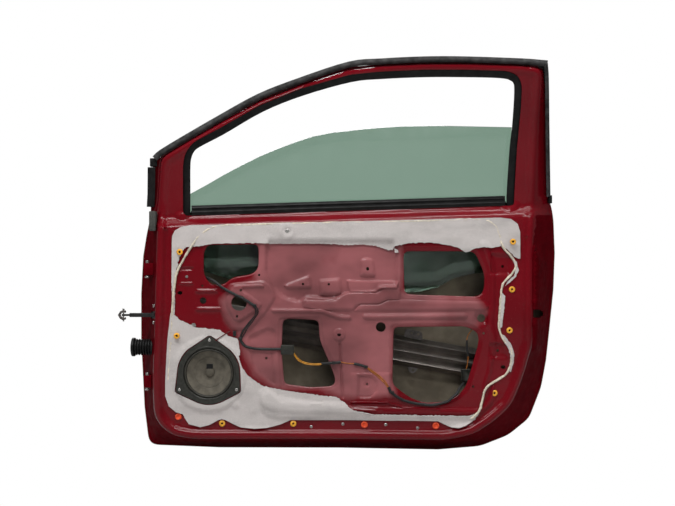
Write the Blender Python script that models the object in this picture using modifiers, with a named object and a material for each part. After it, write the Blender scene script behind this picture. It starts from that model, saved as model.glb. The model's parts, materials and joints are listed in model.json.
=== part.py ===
"""Front door of a small hatchback, stripped of its trim, seen from the cabin side.

+X runs to the rear of the car, +Y to the outside, +Z up. Outlines are read from a square view of the
door, in columns and rows of its picture (names ending in _px), and placed by at() at their real depth.
Depths are measured outwards from the flat field of the inner panel.
"""
import math

import bmesh
import bpy
import numpy as np
from mathutils import Vector
from mathutils.bvhtree import BVHTree
from mathutils.geometry import delaunay_2d_cdt

# Driving dimensions of the door, in metres
MM = 0.001
DOOR_LENGTH = 1216 * MM
DOOR_HEIGHT = 1166 * MM
VIEW_DISTANCE = 2500 * MM
GAP = 0.3 * MM
SHEET = 1.2 * MM
RIM_RISE = 12 * MM
FRAME_RIM_RISE = 3 * MM
HINGE_DEPTH = 40 * MM
HEM_GAP = 0.6 * MM
MERGE_DISTANCE = 0.01 * MM
SEAL_GAP = 1 * MM

# Picture grid: the door spans these columns and rows at the depth of the inner panel
LENGTH_PX = 412.0
HEIGHT_PX = 395.0
CENTRE_PX = (337.5, 253.0)
GRID_X = DOOR_LENGTH / LENGTH_PX
GRID_Z = DOOR_HEIGHT / HEIGHT_PX

# Window glass: part of a cylinder whose axis runs along the car, far inboard
GLASS_RADIUS = 1600 * MM
GLASS_THICKNESS = 3.8 * MM
GLASS_LEAN = math.radians(8)
BELT_HEIGHT = 128 * MM
BELT_DEPTH = 55 * MM
GLASS_FRONT = 446 * MM
GLASS_REAR = 514 * MM
GLASS_AXIS_HEIGHT = BELT_HEIGHT - GLASS_RADIUS * math.sin(GLASS_LEAN)
GLASS_AXIS_DEPTH = BELT_DEPTH - GLASS_RADIUS * math.cos(GLASS_LEAN)

# Window frame: inner face inboard of the glass, outer skin outboard of it
FRAME_INSET_BELT = 30 * MM
FRAME_INSET_TOP = 22 * MM
SKIN_OUTSET = 14 * MM
BELT_ROW_PX = 212.0
FRAME_TOP_ROW_PX = 66.0
BELT_ROLL_PX = 12.0

# Outer skin: barrel shaped below the belt
SKIN_CROWN = 150 * MM
SKIN_CROWN_ROW_PX = 330.0
SKIN_SILL = 112 * MM
SKIN_SILL_ROW_PX = 448.0
SKIN_END_DROP = 18 * MM
SKIN_HALF_SPAN_PX = 206.0

# Outlines, clockwise on the picture from the front lower corner or the front top corner
rim_px = [
    (173.5, 434.0), (161.5, 425.0), (155.4, 414.0), (153.8, 380.0), (155.4, 340.0), (157.4, 267.0),
    (158.6, 227.0), (160.2, 190.0), (162.6, 160.5), (168.5, 155.5), (195.0, 139.5), (221.0, 124.6),
    (261.0, 102.8), (302.0, 86.6), (350.0, 71.0), (382.0, 67.6), (424.0, 65.6), (466.0, 65.6),
    (522.0, 67.4), (537.0, 69.6), (540.5, 74.0), (540.0, 84.0), (537.0, 124.0), (534.5, 175.0),
    (533.4, 206.0), (532.2, 236.5), (531.0, 262.0), (531.0, 345.0), (528.0, 354.0),
    (524.0, 368.0), (518.5, 384.0), (510.0, 404.0), (494.0, 419.0), (473.0, 433.0), (445.0, 438.8),
    (350.0, 437.6), (193.6, 437.6),
]
skin_px = [
    (160.0, 157.0), (167.0, 152.0), (194.0, 136.0), (220.0, 121.0), (260.0, 99.0), (301.0, 83.0),
    (350.0, 67.0), (382.0, 64.0), (424.0, 62.0), (466.0, 62.0), (522.0, 64.0), (542.0, 66.0),
    (546.0, 71.0), (546.6, 130.0), (547.4, 196.0), (550.8, 205.0), (553.3, 218.0), (554.7, 253.0),
    (553.3, 290.0), (549.0, 332.0), (546.0, 360.0), (541.0, 387.0), (529.0, 418.0), (508.0, 435.0),
    (480.0, 446.0), (438.0, 449.4), (340.0, 447.6), (220.0, 447.3), (154.0, 444.6), (148.7, 439.6),
    (144.7, 407.0), (141.3, 340.0), (141.3, 294.0), (143.3, 256.0), (146.7, 235.0), (150.5, 217.0),
    (155.5, 206.0), (157.0, 190.0), (158.0, 168.0),
]
window_px = [
    (183.0, 216.0), (183.0, 164.0), (185.5, 152.0), (193.6, 142.0), (220.0, 128.0), (260.0, 105.0),
    (301.0, 88.6), (350.0, 74.6), (382.0, 71.4), (424.0, 69.6), (466.0, 69.6), (508.0, 70.8),
    (518.0, 75.0), (522.0, 85.0), (521.0, 106.0), (517.0, 148.0), (514.0, 199.0), (514.0, 205.6),
]
glass_top_px = [
    (183.0, 195.6), (191.6, 194.0), (220.0, 177.0), (254.0, 159.0), (287.0, 145.0), (321.0, 134.0),
    (365.0, 129.0), (396.0, 126.5), (438.0, 125.8), (480.0, 126.5), (515.0, 127.4),
]

# Openings of the inner panel
opening_front_px = [
    (207.5, 244.7), (203.5, 253.0), (203.5, 273.5), (207.5, 281.5), (213.0, 285.0), (223.6, 285.0),
    (233.6, 277.5), (250.4, 274.8), (256.4, 271.5), (259.0, 265.5), (259.0, 248.0), (256.4, 244.0),
]
opening_rear_px = [
    (403.0, 251.0), (404.0, 291.0), (407.0, 294.7), (479.0, 297.0), (484.5, 290.0), (484.5, 273.0),
    (474.7, 251.0),
]
opening_middle_px = [
    (282.6, 320.0), (290.0, 318.0), (318.8, 320.0), (320.0, 340.0), (327.5, 357.6), (335.0, 376.0),
    (335.5, 383.0), (331.5, 386.4), (310.0, 387.5), (284.0, 384.0), (281.3, 350.0),
]
opening_lower_px = [
    (393.3, 326.7), (466.0, 326.0), (478.0, 332.0), (479.0, 342.0), (472.0, 367.0), (466.0, 387.0),
    (456.5, 397.0), (444.0, 402.0), (424.0, 403.0), (410.0, 398.0), (399.0, 390.0), (392.0, 384.0),
]
latch_hole_px = [(533.0, 309.5), (542.6, 309.5), (542.6, 317.5), (533.0, 317.5)]

HOLE_SIDES = 12
SMALL_HOLE_SIDES = 8
SMALL_HOLE_PX = 2.3


def circle_px(centre, radius, sides=HOLE_SIDES):
    """A round loop in the picture."""
    return [(centre[0] + radius * math.cos(math.tau * step / sides),
             centre[1] + radius * math.sin(math.tau * step / sides)) for step in range(sides)]


def disc_px(centre, radius, sides=HOLE_SIDES):
    """A loop in the picture that is round at its real size, with its radius in metres."""
    return [(centre[0] + radius / GRID_X * math.cos(math.tau * step / sides),
             centre[1] + radius / GRID_Z * math.sin(math.tau * step / sides)) for step in range(sides)]


# Round holes of the inner panel: column, row and radius in the picture
round_holes_px = [
    (239.0, 303.0, 7.8), (203.2, 300.5, 3.3), (180.0, 292.8, 2.2), (380.8, 327.0, 4.6), (481.0, 318.0, 3.8),
    (503.0, 367.0, 2.2), (240.8, 290.2, 1.4), (237.0, 316.3, 1.4), (303.0, 284.0, 1.4), (328.8, 284.2, 1.4),
    (367.6, 268.8, 1.8), (339.0, 334.8, 1.8), (266.4, 358.0, 1.4), (502.4, 266.4, 1.6), (497.5, 350.5, 1.6),
    (473.0, 392.0, 1.4), (269.2, 406.5, 1.4),
]
# Embosses of the inner panel: outline, rise towards the cabin and width of the sloping wall
embosses_px = {
    "motor_field": ([(229, 283), (264, 279.5), (272, 286), (277, 297), (266, 314), (246, 329), (231, 329),
                     (220, 312), (218, 295)], 4 * MM, 2.2),
    "motor_pad": ([(244.5, 287), (259, 302), (259, 307), (255, 311), (240.5, 321), (235, 321), (227, 307),
                   (227, 298), (231, 293)], 5 * MM, 1.8),
    "upper_dish": ([(264, 240), (263.5, 274), (270, 288), (281, 299), (300.7, 305), (307, 298), (336, 301),
                    (346, 294), (377, 293.5), (381, 288), (399, 288), (399, 240)], -6 * MM, 2.6),
    "triangle_pad": ([(281, 285), (311, 274), (312, 289), (286, 290)], 5 * MM, 2.0),
    "centre_pad": ([(319, 279), (341, 277), (341, 295), (319, 297)], 5 * MM, 2.0),
    "ledge": ([(347, 279), (381, 279), (381, 290), (347, 291.5)], 7 * MM, 2.4),
    "tongue": ([(359, 259), (376, 259), (376, 277), (359, 277)], 5 * MM, 2.0),
    "long_bead": ([(364, 313), (466, 312), (469, 315.5), (466, 320), (364, 320.5), (361, 316.5)], 5 * MM, 2.0),
    "middle_bead": ([(270, 307.6), (319, 308), (340, 314), (352, 315), (352, 321), (338, 320.4),
                     (318, 313.6), (270, 313.6)], 4 * MM, 1.8),
    "rib_upper": ([(195, 288.4), (216, 288.4), (216, 293.6), (195, 293.6)], 4 * MM, 1.8),
    "rib_lower": ([(195, 306.4), (221, 306.4), (221, 311.8), (195, 311.8)], 4 * MM, 1.8),
    "groove": ([(337.6, 341), (345, 341), (345, 401), (337.6, 401)], -5 * MM, 2.2),
    "lower_recess": ([(354, 372), (374, 372), (381, 379), (381, 392), (374, 400), (354, 400)], -6 * MM, 2.4),
    "corner_recess": ([(489, 252), (513, 252), (513, 276), (489, 276)], -6 * MM, 2.4),
    "latch_recess": ([(488, 342), (508, 342), (508, 359), (488, 359)], -6 * MM, 2.4),
    "bottom_ridge": ([(262, 397), (268, 392), (275, 397), (279, 402.6), (381, 406), (478, 408), (478, 417),
                      (381, 416.6), (275, 416.6), (264, 413)], 5 * MM, 2.4),
    "speaker_seat": (circle_px((208.6, 374.5), 36.0, 20), 4 * MM, 2.6),
    "cone_recess": (circle_px((481.0, 318.0), 9.0), -7 * MM, 4.6),
    "latch_bulge": ([(531, 238), (540, 246), (549, 262), (552, 275), (552, 303), (550, 335), (545, 350),
                     (536, 357), (529, 353), (530, 250)], 47 * MM, 8.0),
}
RIM_FLAT_PX = 4.4
RIM_FOOT_PX = 8.0
FLANGE_FOOT_PX = 1.7
FLANGE_EDGE_PX = 0.5
EDGE_ROLL_PX = 1.3
EDGE_ROLL = 2.5 * MM
GRID_STEP_PX = 24.0
CORNER_STEPS = 3
SIGHT_STEPS = 4

# Loudspeaker
SPEAKER_PX = (208.8, 373.2)
SPEAKER_RADIUS = 91 * MM
SPEAKER_HOLE_RADIUS = 79 * MM
SPEAKER_SIDES = 28
SMALL_SIDES = 16
SCREW_SIDES = 10

# Colours of the pieces as red, green and blue in linear light
RED_PAINT = (0.115, 0.004, 0.009)
DULL_FELT = (0.50, 0.46, 0.42)
RUBBER_BLACK = (0.012, 0.012, 0.012)
SEAL_GREY = (0.05, 0.045, 0.04)
STEEL_GREY = (0.09, 0.08, 0.07)
GLASS_GREEN = (0.35, 0.48, 0.40)
CLIP_YELLOW = (0.60, 0.42, 0.10)
PLUG_RED = (0.55, 0.07, 0.02)
BUTYL_CREAM = (0.62, 0.55, 0.36)
CABLE_BLACK = (0.015, 0.015, 0.016)
CONE_GREY = (0.10, 0.09, 0.08)
FRAME_DARK = (0.022, 0.022, 0.016)
FOAM_GREY = (0.22, 0.20, 0.18)
BRIGHT_METAL = (0.45, 0.44, 0.42)


def clear_scene():
    """Remove what the start-up scene holds."""
    for item in list(bpy.data.objects):
        bpy.data.objects.remove(item, do_unlink=True)


def collection(name):
    """A new collection linked to the scene."""
    group = bpy.data.collections.new(name)
    bpy.context.scene.collection.children.link(group)
    return group


def material(name, colour, roughness, metallic=0.0):
    """A Principled material of one colour."""
    paint = bpy.data.materials.new(name)
    paint.use_nodes = True
    shader = paint.node_tree.nodes["Principled BSDF"]
    shader.inputs["Base Color"].default_value = (*colour, 1.0)
    shader.inputs["Roughness"].default_value = roughness
    shader.inputs["Metallic"].default_value = metallic
    return paint


def mix(low, high, share):
    """A value between two others, at a share of the way."""
    return low + (high - low) * share


def smooth(share):
    """A share from 0 to 1 that starts and ends gently."""
    share = np.clip(share, 0, 1)
    return share * share * (3 - 2 * share)


def signed(points, loop):
    """Distance from each picture point to a closed loop, positive inside it."""
    start = np.asarray(loop, dtype=float)
    end = np.roll(start, -1, axis=0)
    edge = end - start
    place = np.asarray(points, dtype=float)[:, None, :]
    along = np.clip(((place - start) * edge).sum(2) / (edge ** 2).sum(1), 0, 1)
    gap = np.linalg.norm(place - (start + along[..., None] * edge), axis=2).min(1)
    spans = (start[:, 1] > place[..., 1]) != (end[:, 1] > place[..., 1])
    rise = np.where(edge[:, 1] == 0, 1, edge[:, 1])
    left = place[..., 0] < edge[:, 0] * (place[..., 1] - start[:, 1]) / rise + start[:, 0]
    return np.where((spans & left).sum(1) % 2 == 1, gap, -gap)


def inset(loop, width):
    """A closed loop moved inwards by a width, corner by corner."""
    points = [Vector(point) for point in loop]
    area = sum(a.x * b.y - b.x * a.y for a, b in zip(points, points[1:] + points[:1]))
    side = 1 if area > 0 else -1
    moved = []
    for index, point in enumerate(points):
        before = (point - points[index - 1]).normalized()
        after = (points[(index + 1) % len(points)] - point).normalized()
        normal = Vector((-before.y - after.y, before.x + after.x)) * side
        length = max(normal.length, 0.8)
        moved.append(tuple(point + normal / length * width * 2 / length))
    return moved


def rounded(loop, radius, steps=CORNER_STEPS):
    """A closed loop with each corner replaced by a small curve."""
    points = [Vector(point) for point in loop]
    result = []
    for index, point in enumerate(points):
        before = points[index - 1] - point
        after = points[(index + 1) % len(points)] - point
        if before.angle(after) > math.radians(158):
            result.append(tuple(point))
            continue
        start = point + before.normalized() * min(radius, before.length * 0.45)
        end = point + after.normalized() * min(radius, after.length * 0.45)
        for step in range(steps + 1):
            share = step / steps
            result.append(tuple(start * (1 - share) ** 2 + point * 2 * share * (1 - share) + end * share ** 2))
    return result


def divided(loop, longest):
    """A closed loop with its long sides divided evenly."""
    result = []
    for a, b in zip(loop, [*loop[1:], loop[0]]):
        parts = max(1, math.ceil(math.dist(a, b) / longest))
        result += [tuple(Vector(a).lerp(Vector(b), part / parts)) for part in range(parts)]
    return result


def raw_at(column, row, depth):
    """A picture point at a depth, before the origin is moved to the hinge."""
    spread = 1 + depth / VIEW_DISTANCE
    return Vector(((column - CENTRE_PX[0]) * GRID_X * spread, depth,
                   (CENTRE_PX[1] - row) * GRID_Z * spread))


HINGE_FACE_PX = (145.4, 269.0)
ORIGIN = raw_at(*HINGE_FACE_PX, HINGE_DEPTH)


def at(column, row, depth):
    """A picture point at a depth, in the door's frame."""
    return raw_at(column, row, depth) - ORIGIN


def glass_depth(rows):
    """Depth of the middle of the glass on the line of sight through each row."""
    rows = np.asarray(rows, dtype=float)
    depth = np.full_like(rows, BELT_DEPTH)
    for _ in range(SIGHT_STEPS):
        height = (CENTRE_PX[1] - rows) * GRID_Z * (1 + depth / VIEW_DISTANCE)
        depth = GLASS_AXIS_DEPTH + np.sqrt(GLASS_RADIUS ** 2 - (height - GLASS_AXIS_HEIGHT) ** 2)
    return depth


def frame_depth(rows):
    """Depth of the inner face of the window frame."""
    share = (BELT_ROW_PX - np.asarray(rows)) / (BELT_ROW_PX - FRAME_TOP_ROW_PX)
    return glass_depth(rows) - mix(FRAME_INSET_BELT, FRAME_INSET_TOP, np.clip(share, 0, 1))


def belt_row(columns):
    """Row of the inner panel's top edge, which rises a little to the rear."""
    return mix(215.6, 206.0, (np.asarray(columns) - 190.0) / 313.0)


def skin_depth(points):
    """Depth of the outer skin."""
    points = np.asarray(points, dtype=float)
    rows = points[:, 1]
    belt = glass_depth(rows) + SKIN_OUTSET
    upper = np.clip((SKIN_CROWN_ROW_PX - rows) / (SKIN_CROWN_ROW_PX - BELT_ROW_PX), 0, 1)
    lower = np.clip((rows - SKIN_CROWN_ROW_PX) / (SKIN_SILL_ROW_PX - SKIN_CROWN_ROW_PX), 0, 1)
    belt_edge = float(glass_depth([BELT_ROW_PX])[0]) + SKIN_OUTSET
    body = SKIN_CROWN - (SKIN_CROWN - belt_edge) * upper ** 2 - (SKIN_CROWN - SKIN_SILL) * lower ** 2
    across = (points[:, 0] - (CENTRE_PX[0] + 10)) / SKIN_HALF_SPAN_PX
    body = body - SKIN_END_DROP * across ** 2 * (1 - upper ** 2)
    return np.where(rows < BELT_ROW_PX, belt, body)


def field_depth(points):
    """Depth of the inner panel inside its rim, with the belt roll and the window frame."""
    points = np.asarray(points, dtype=float)
    share = smooth((points[:, 1] - belt_row(points[:, 0])) / BELT_ROLL_PX)
    return frame_depth(np.minimum(points[:, 1], BELT_ROW_PX + BELT_ROLL_PX)) * (1 - share)


def panel_depth(points, openings=()):
    """Depth of the inner panel, from its flange at the skin to its field and embosses."""
    points = np.asarray(points, dtype=float)
    to_rim = signed(points, rim_px)
    to_foot = signed(points, inset(skin_px, FLANGE_FOOT_PX))
    rim_rise = mix(FRAME_RIM_RISE, RIM_RISE, smooth((points[:, 1] - 200) / 30))
    flat = 1 - np.clip((to_rim - RIM_FLAT_PX) / (RIM_FOOT_PX - RIM_FLAT_PX), 0, 1)
    depth = field_depth(points) - rim_rise * np.where(to_rim >= 0, flat, 1)
    for outline, rise, wall in embosses_px.values():
        depth = depth - rise * np.clip(signed(points, outline) / wall, 0, 1)
    for opening in openings:
        depth = depth + EDGE_ROLL * np.clip(1 + signed(points, opening) / EDGE_ROLL_PX, 0, 1)
    flange = skin_depth(points) - SHEET - HEM_GAP
    wall = np.where(to_foot > 0, -to_rim / np.maximum(to_foot - to_rim, 1e-6), 1)
    return np.where(to_rim >= 0, depth, mix(depth, flange, np.clip(wall, 0, 1)))


def add_mesh(name, mesh, group, paint):
    """Link a mesh as a named object of one material."""
    mesh.name = name
    item = bpy.data.objects.new(name, mesh)
    group.objects.link(item)
    if paint:
        mesh.materials.append(paint)
    return item


def triangulate(outline, openings, loops, step):
    """Picture points and triangles that fill an outline around its openings and through its fold loops."""
    points = []
    edges = []
    for loop in [outline, *openings, *loops]:
        first = len(points)
        points += [Vector(point) for point in loop]
        edges += [(first + index, first + (index + 1) % len(loop)) for index in range(len(loop))]
    low = np.min(outline, axis=0)
    high = np.max(outline, axis=0)
    columns = np.arange(low[0] + step / 2, high[0], step)
    rows = np.arange(low[1] + step / 2, high[1], step)
    spare = np.array([(column, row) for row in rows for column in columns])
    clear = np.full(len(spare), np.inf)
    for loop in [outline, *openings, *loops]:
        clear = np.minimum(clear, np.abs(signed(spare, loop)))
    inside = signed(spare, outline) > 0
    for opening in openings:
        inside &= signed(spare, opening) < 0
    points += [Vector(point) for point in spare[inside & (clear > step / 5)]]
    found = delaunay_2d_cdt(points, edges, [], 0, 1e-4)
    places = np.array([tuple(point) for point in found[0]])
    triangles = np.array([tuple(face) for face in found[2]])
    centres = places[triangles].mean(axis=1)
    keep = signed(centres, outline) > 0
    for opening in openings:
        keep &= signed(centres, opening) < 0
    return places, triangles[keep]


def sheet(name, group, paint, outline, depth_at, openings=(), loops=(), step=GRID_STEP_PX, thickness=SHEET):
    """A pressed sheet: a surface over the picture, thickened evenly."""
    places, triangles = triangulate(outline, openings, loops, step)
    depths = depth_at(places)
    form = bmesh.new()
    used = sorted(set(triangles.ravel()))
    corner = {index: form.verts.new(at(*places[index], depths[index])) for index in used}
    for triangle in triangles:
        form.faces.new([corner[index] for index in triangle])
    bmesh.ops.recalc_face_normals(form, faces=form.faces)
    mesh = bpy.data.meshes.new(name)
    form.to_mesh(mesh)
    form.free()
    item = add_mesh(name, mesh, group, paint)
    shell = item.modifiers.new("Thickness", "SOLIDIFY")
    shell.thickness = thickness
    shell.offset = 0
    shell.use_even_offset = True
    return item


def loft(name, group, paint, rings, closed=False):
    """One closed body through a row of equal sections."""
    form = bmesh.new()
    rows = [[form.verts.new(point) for point in ring] for ring in rings]
    pairs = list(zip(rows, rows[1:]))
    if closed:
        pairs.append((rows[-1], rows[0]))
    for first, second in pairs:
        for index in range(len(first)):
            after = (index + 1) % len(first)
            form.faces.new((first[index], first[after], second[after], second[index]))
    if not closed:
        form.faces.new(rows[0])
        form.faces.new(rows[-1])
    bmesh.ops.recalc_face_normals(form, faces=form.faces)
    mesh = bpy.data.meshes.new(name)
    form.to_mesh(mesh)
    form.free()
    mesh.shade_smooth()
    mesh.set_sharp_from_angle(angle=math.radians(40))
    return add_mesh(name, mesh, group, paint)


def sweep(name, group, paint, path, section, depth_at, closed=False):
    """A section of (offset to the right of the path, depth) pairs, carried along a path in the picture."""
    rings = []
    last = len(path) - 1
    for index, point in enumerate(path):
        before = path[index - 1] if closed or index > 0 else point
        after = path[(index + 1) % len(path)] if closed or index < last else point
        along = (Vector(after) - Vector(before)).normalized()
        side = Vector((-along.y, along.x))
        places = [(point[0] + side.x * offset / GRID_X, point[1] + side.y * offset / GRID_Z)
                  for offset, _ in section]
        depths = depth_at(np.array(places))
        rings.append([at(*place, float(depth) + drop)
                      for place, depth, (_, drop) in zip(places, depths, section)])
    return loft(name, group, paint, rings, closed)


def turned(name, group, paint, profile, place, axis=(0, -1, 0), sides=24):
    """A round piece: a profile of (radius, height) pairs, top to bottom, turned about its axis."""
    mesh = bpy.data.meshes.new(name)
    points = [(radius, 0, height) for radius, height in profile]
    edges = [(index, index + 1) for index in range(len(points) - 1)]
    if profile[0][0] > 0:
        edges.append((len(points) - 1, 0))
    mesh.from_pydata(points, edges, [])
    item = add_mesh(name, mesh, group, paint)
    item.location = place
    item.rotation_euler = Vector(axis).to_track_quat("Z", "Y").to_euler()
    turn = item.modifiers.new("Turn", "SCREW")
    turn.steps = sides
    turn.render_steps = sides
    turn.use_merge_vertices = True
    turn.merge_threshold = MERGE_DISTANCE
    turn.use_smooth_shade = True
    return item


def box(name, group, paint, size, place, rotation=(0, 0, 0), bevel=0.0):
    """A rectangular block with softened edges."""
    form = bmesh.new()
    bmesh.ops.create_cube(form, size=1)
    bmesh.ops.scale(form, vec=Vector(size), verts=form.verts)
    mesh = bpy.data.meshes.new(name)
    form.to_mesh(mesh)
    form.free()
    item = add_mesh(name, mesh, group, paint)
    item.location = place
    item.rotation_euler = rotation
    if bevel:
        edge = item.modifiers.new("Edges", "BEVEL")
        edge.width = bevel
        edge.segments = 2
    return item


def tube(name, group, paint, points, radius, sides=2):
    """A round cord through a list of points."""
    curve = bpy.data.curves.new(name, "CURVE")
    curve.dimensions = "3D"
    curve.bevel_depth = radius
    curve.bevel_resolution = sides
    curve.use_fill_caps = True
    line = curve.splines.new("POLY")
    line.points.add(len(points) - 1)
    for point, place in zip(line.points, points):
        point.co = (*place, 1)
    item = bpy.data.objects.new(name, curve)
    group.objects.link(item)
    curve.materials.append(paint)
    return item


def flowing(points, steps):
    """Points along a smooth curve through a few places."""
    places = [Vector(point) for point in points]
    places = [places[0] * 2 - places[1], *places, places[-1] * 2 - places[-2]]
    result = []
    for a, b, c, d in zip(places, places[1:], places[2:], places[3:]):
        for step in range(steps):
            t = step / steps
            result.append(0.5 * ((2 * b) + (c - a) * t + (2 * a - 5 * b + 4 * c - d) * t * t
                                 + (3 * b - a - 3 * c + d) * t ** 3))
    return result + [places[-2]]


def cut(item, cutter):
    """Take a cutter's shape out of a piece."""
    cutter.hide_render = True
    cutter.display_type = "WIRE"
    difference = item.modifiers.new(cutter.name, "BOOLEAN")
    difference.operation = "DIFFERENCE"
    difference.object = cutter


def join(item, other):
    """Unite a second shape with a piece."""
    other.hide_render = True
    other.display_type = "WIRE"
    union = item.modifiers.new(other.name, "BOOLEAN")
    union.operation = "UNION"
    union.object = other


# Closed folds shared by the panel and the skin
FOLD_STEP_PX = 26.0
WINDOW_STEP_PX = 18.0
RIM_LOOP = divided(rounded(rim_px, 5, 2), FOLD_STEP_PX)
SKIN_LOOP = divided(rounded(skin_px, 6, 2), FOLD_STEP_PX)
SKIN_WINDOW_INSET_PX = 3.4
SKIN_GRID_SHARE = 1.4
BELT_FOLDS_PX = (3.0, 8.0)
belt_fold_px = [(164, 0), (250, 0), (350, 0), (450, 0), (530, 0), (530, 2.4), (350, 2.4), (164, 2.4)]
EMBOSS_CORNER_PX = 2.5
STRAP_SLOT_PX = [(151.2, 311.4), (155.4, 311.4), (155.4, 318.6), (151.2, 318.6)]
OPENINGS = [rounded(opening_front_px, 4), rounded(opening_rear_px, 7), rounded(opening_middle_px, 5),
            rounded(opening_lower_px, 6)]


def panel_holes():
    """Every hole of the inner panel."""
    holes = [divided(rounded(window_px, 6), WINDOW_STEP_PX), *OPENINGS, rounded(latch_hole_px, 1.5), STRAP_SLOT_PX]
    for column, row, radius in round_holes_px:
        sides = SMALL_HOLE_SIDES if radius < SMALL_HOLE_PX else HOLE_SIDES
        holes.append(circle_px((column, row), radius, sides))
    holes.append(disc_px(SPEAKER_PX, SPEAKER_HOLE_RADIUS, SPEAKER_SIDES))
    return holes


def panel_surface(points):
    """Depth of the inner panel with rolled edges at its large openings."""
    return panel_depth(points, OPENINGS)


def make_panels(group):
    """The inner panel with its window frame, and the outer skin."""
    paint = material("red_paint", RED_PAINT, 0.35)
    folds = [RIM_LOOP, inset(RIM_LOOP, RIM_FLAT_PX), inset(RIM_LOOP, RIM_FOOT_PX), inset(SKIN_LOOP, FLANGE_FOOT_PX)]
    for outline, _, wall in embosses_px.values():
        edge = rounded(outline, EMBOSS_CORNER_PX, 1) if len(outline) < HOLE_SIDES else outline
        folds += [edge, inset(edge, wall)]
    folds += [inset(opening, -EDGE_ROLL_PX) for opening in OPENINGS]
    for rise in BELT_FOLDS_PX:
        folds.append([(column, float(belt_row(column)) + rise + lower) for column, lower in belt_fold_px])
    edge = inset(SKIN_LOOP, FLANGE_EDGE_PX)
    inner = sheet("inner_panel", group, paint, edge, panel_surface, panel_holes(), folds)
    skin_paint = material("skin_paint", RED_PAINT, 0.2)
    skin_window = divided(inset(window_px, SKIN_WINDOW_INSET_PX), WINDOW_STEP_PX)
    flange = [inset(SKIN_LOOP, FLANGE_FOOT_PX), edge]
    sheet("outer_skin", group, skin_paint, SKIN_LOOP, skin_depth, [skin_window], flange, GRID_STEP_PX * SKIN_GRID_SHARE)
    return inner


def spread_path(points, steps):
    """A path in the picture with extra points along a smooth curve."""
    return [tuple(point) for point in flowing(points, steps)]


def glass_side(points):
    """Depth of the glass at picture points."""
    return glass_depth(np.asarray(points)[:, 1])


GLASS_COLUMNS = 18
GLASS_ROWS = 9
glass_foot_px = [(180.0, 258.0), (200.0, 270.0), (260.0, 288.0), (330.0, 292.0), (430.0, 292.0), (447.0, 281.0),
                 (459.0, 276.0), (470.0, 274.0), (500.0, 271.0), (520.0, 270.0)]


def arc_angle(column, row):
    """Across position and angle round the glass axis of a picture point on the glass."""
    place = raw_at(column, row, float(glass_depth([row])[0]))
    return place.x, math.asin((place.z - GLASS_AXIS_HEIGHT) / GLASS_RADIUS)


def make_glass(group):
    """The window glass, half lowered, with its origin on the axis of its curve."""
    top = [arc_angle(*point) for point in glass_top_px]
    foot = [arc_angle(*point) for point in glass_foot_px]
    form = bmesh.new()
    lines = []
    for x in np.linspace(-GLASS_FRONT, GLASS_REAR, GLASS_COLUMNS + 1):
        high = np.interp(x, *zip(*top))
        low = np.interp(x, *zip(*foot))
        angles = np.linspace(low, high, GLASS_ROWS + 1)
        lines.append([form.verts.new((x, GLASS_RADIUS * math.cos(angle), GLASS_RADIUS * math.sin(angle)))
                      for angle in angles])
    for first, second in zip(lines, lines[1:]):
        for a, b, c, d in zip(first, first[1:], second[1:], second):
            form.faces.new((a, b, c, d))
    mesh = bpy.data.meshes.new("window_glass")
    form.to_mesh(mesh)
    form.free()
    mesh.shade_smooth()
    glass = add_mesh("window_glass", mesh, group, material("green_glass", GLASS_GREEN, 0.05))
    glass.location = Vector((0, GLASS_AXIS_DEPTH, GLASS_AXIS_HEIGHT)) - ORIGIN
    shell = glass.modifiers.new("Thickness", "SOLIDIFY")
    shell.thickness = GLASS_THICKNESS
    shell.offset = 0
    return glass


# Sections of the seals as (offset to the right of the path, depth from the glass)
LIP = 3.4 * MM
RUN_WIDTH = 22 * MM
RUN_WALL = 8 * MM
RUN_FACE = 18 * MM
RUN_FOLD = 2 * MM
RUN_BACK = 10 * MM
SEAL_FACE = SKIN_OUTSET - SHEET / 2 - SEAL_GAP
run_section = [(GAP, -RUN_FACE), (RUN_WIDTH - RUN_FOLD, -RUN_FACE), (RUN_WIDTH, -RUN_FACE + RUN_FOLD),
               (RUN_WIDTH, -LIP), (RUN_WALL, -LIP), (RUN_WALL, LIP), (RUN_WIDTH - RUN_FOLD, LIP),
               (RUN_WIDTH - RUN_FOLD, RUN_BACK), (GAP, SEAL_FACE)]
run_path_px = [(183.0, 285.0), (183.0, 250.0), (183.0, 216.0), (183.0, 190.0), (183.0, 168.0), (184.0, 157.0),
               (188.0, 147.5), (196.0, 140.6), (220.0, 128.0), (260.0, 105.0), (301.0, 88.6), (350.0, 74.9),
               (382.0, 71.7), (424.0, 69.9), (466.0, 69.9), (500.0, 70.8), (513.0, 73.6), (520.0, 80.0),
               (521.6, 92.0), (519.6, 125.0), (517.0, 148.0), (514.2, 190.0), (513.8, 205.0), (513.8, 250.0),
               (513.8, 285.0)]
BELT_SEAL_DEPTH = 33 * MM
BELT_SEAL_HEIGHT = 30 * MM
BELT_SEAL_SOFT = 4 * MM
BELT_SEAL_SEAT = 0.4 * MM
GLASS_TOUCH = GLASS_THICKNESS / 2 + 0.7 * MM
LIP_ROOT = 8 * MM
LIP_WIDTH = 2.5 * MM
LIP_PITCH = BELT_SEAL_HEIGHT * 0.43
LIP_FOOT = BELT_SEAL_HEIGHT * 0.4
belt_inner_section = [(-BELT_SEAL_SEAT, -BELT_SEAL_DEPTH), (-BELT_SEAL_HEIGHT + BELT_SEAL_SOFT, -BELT_SEAL_DEPTH),
                      (-BELT_SEAL_HEIGHT, -BELT_SEAL_DEPTH + BELT_SEAL_SOFT)]
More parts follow.
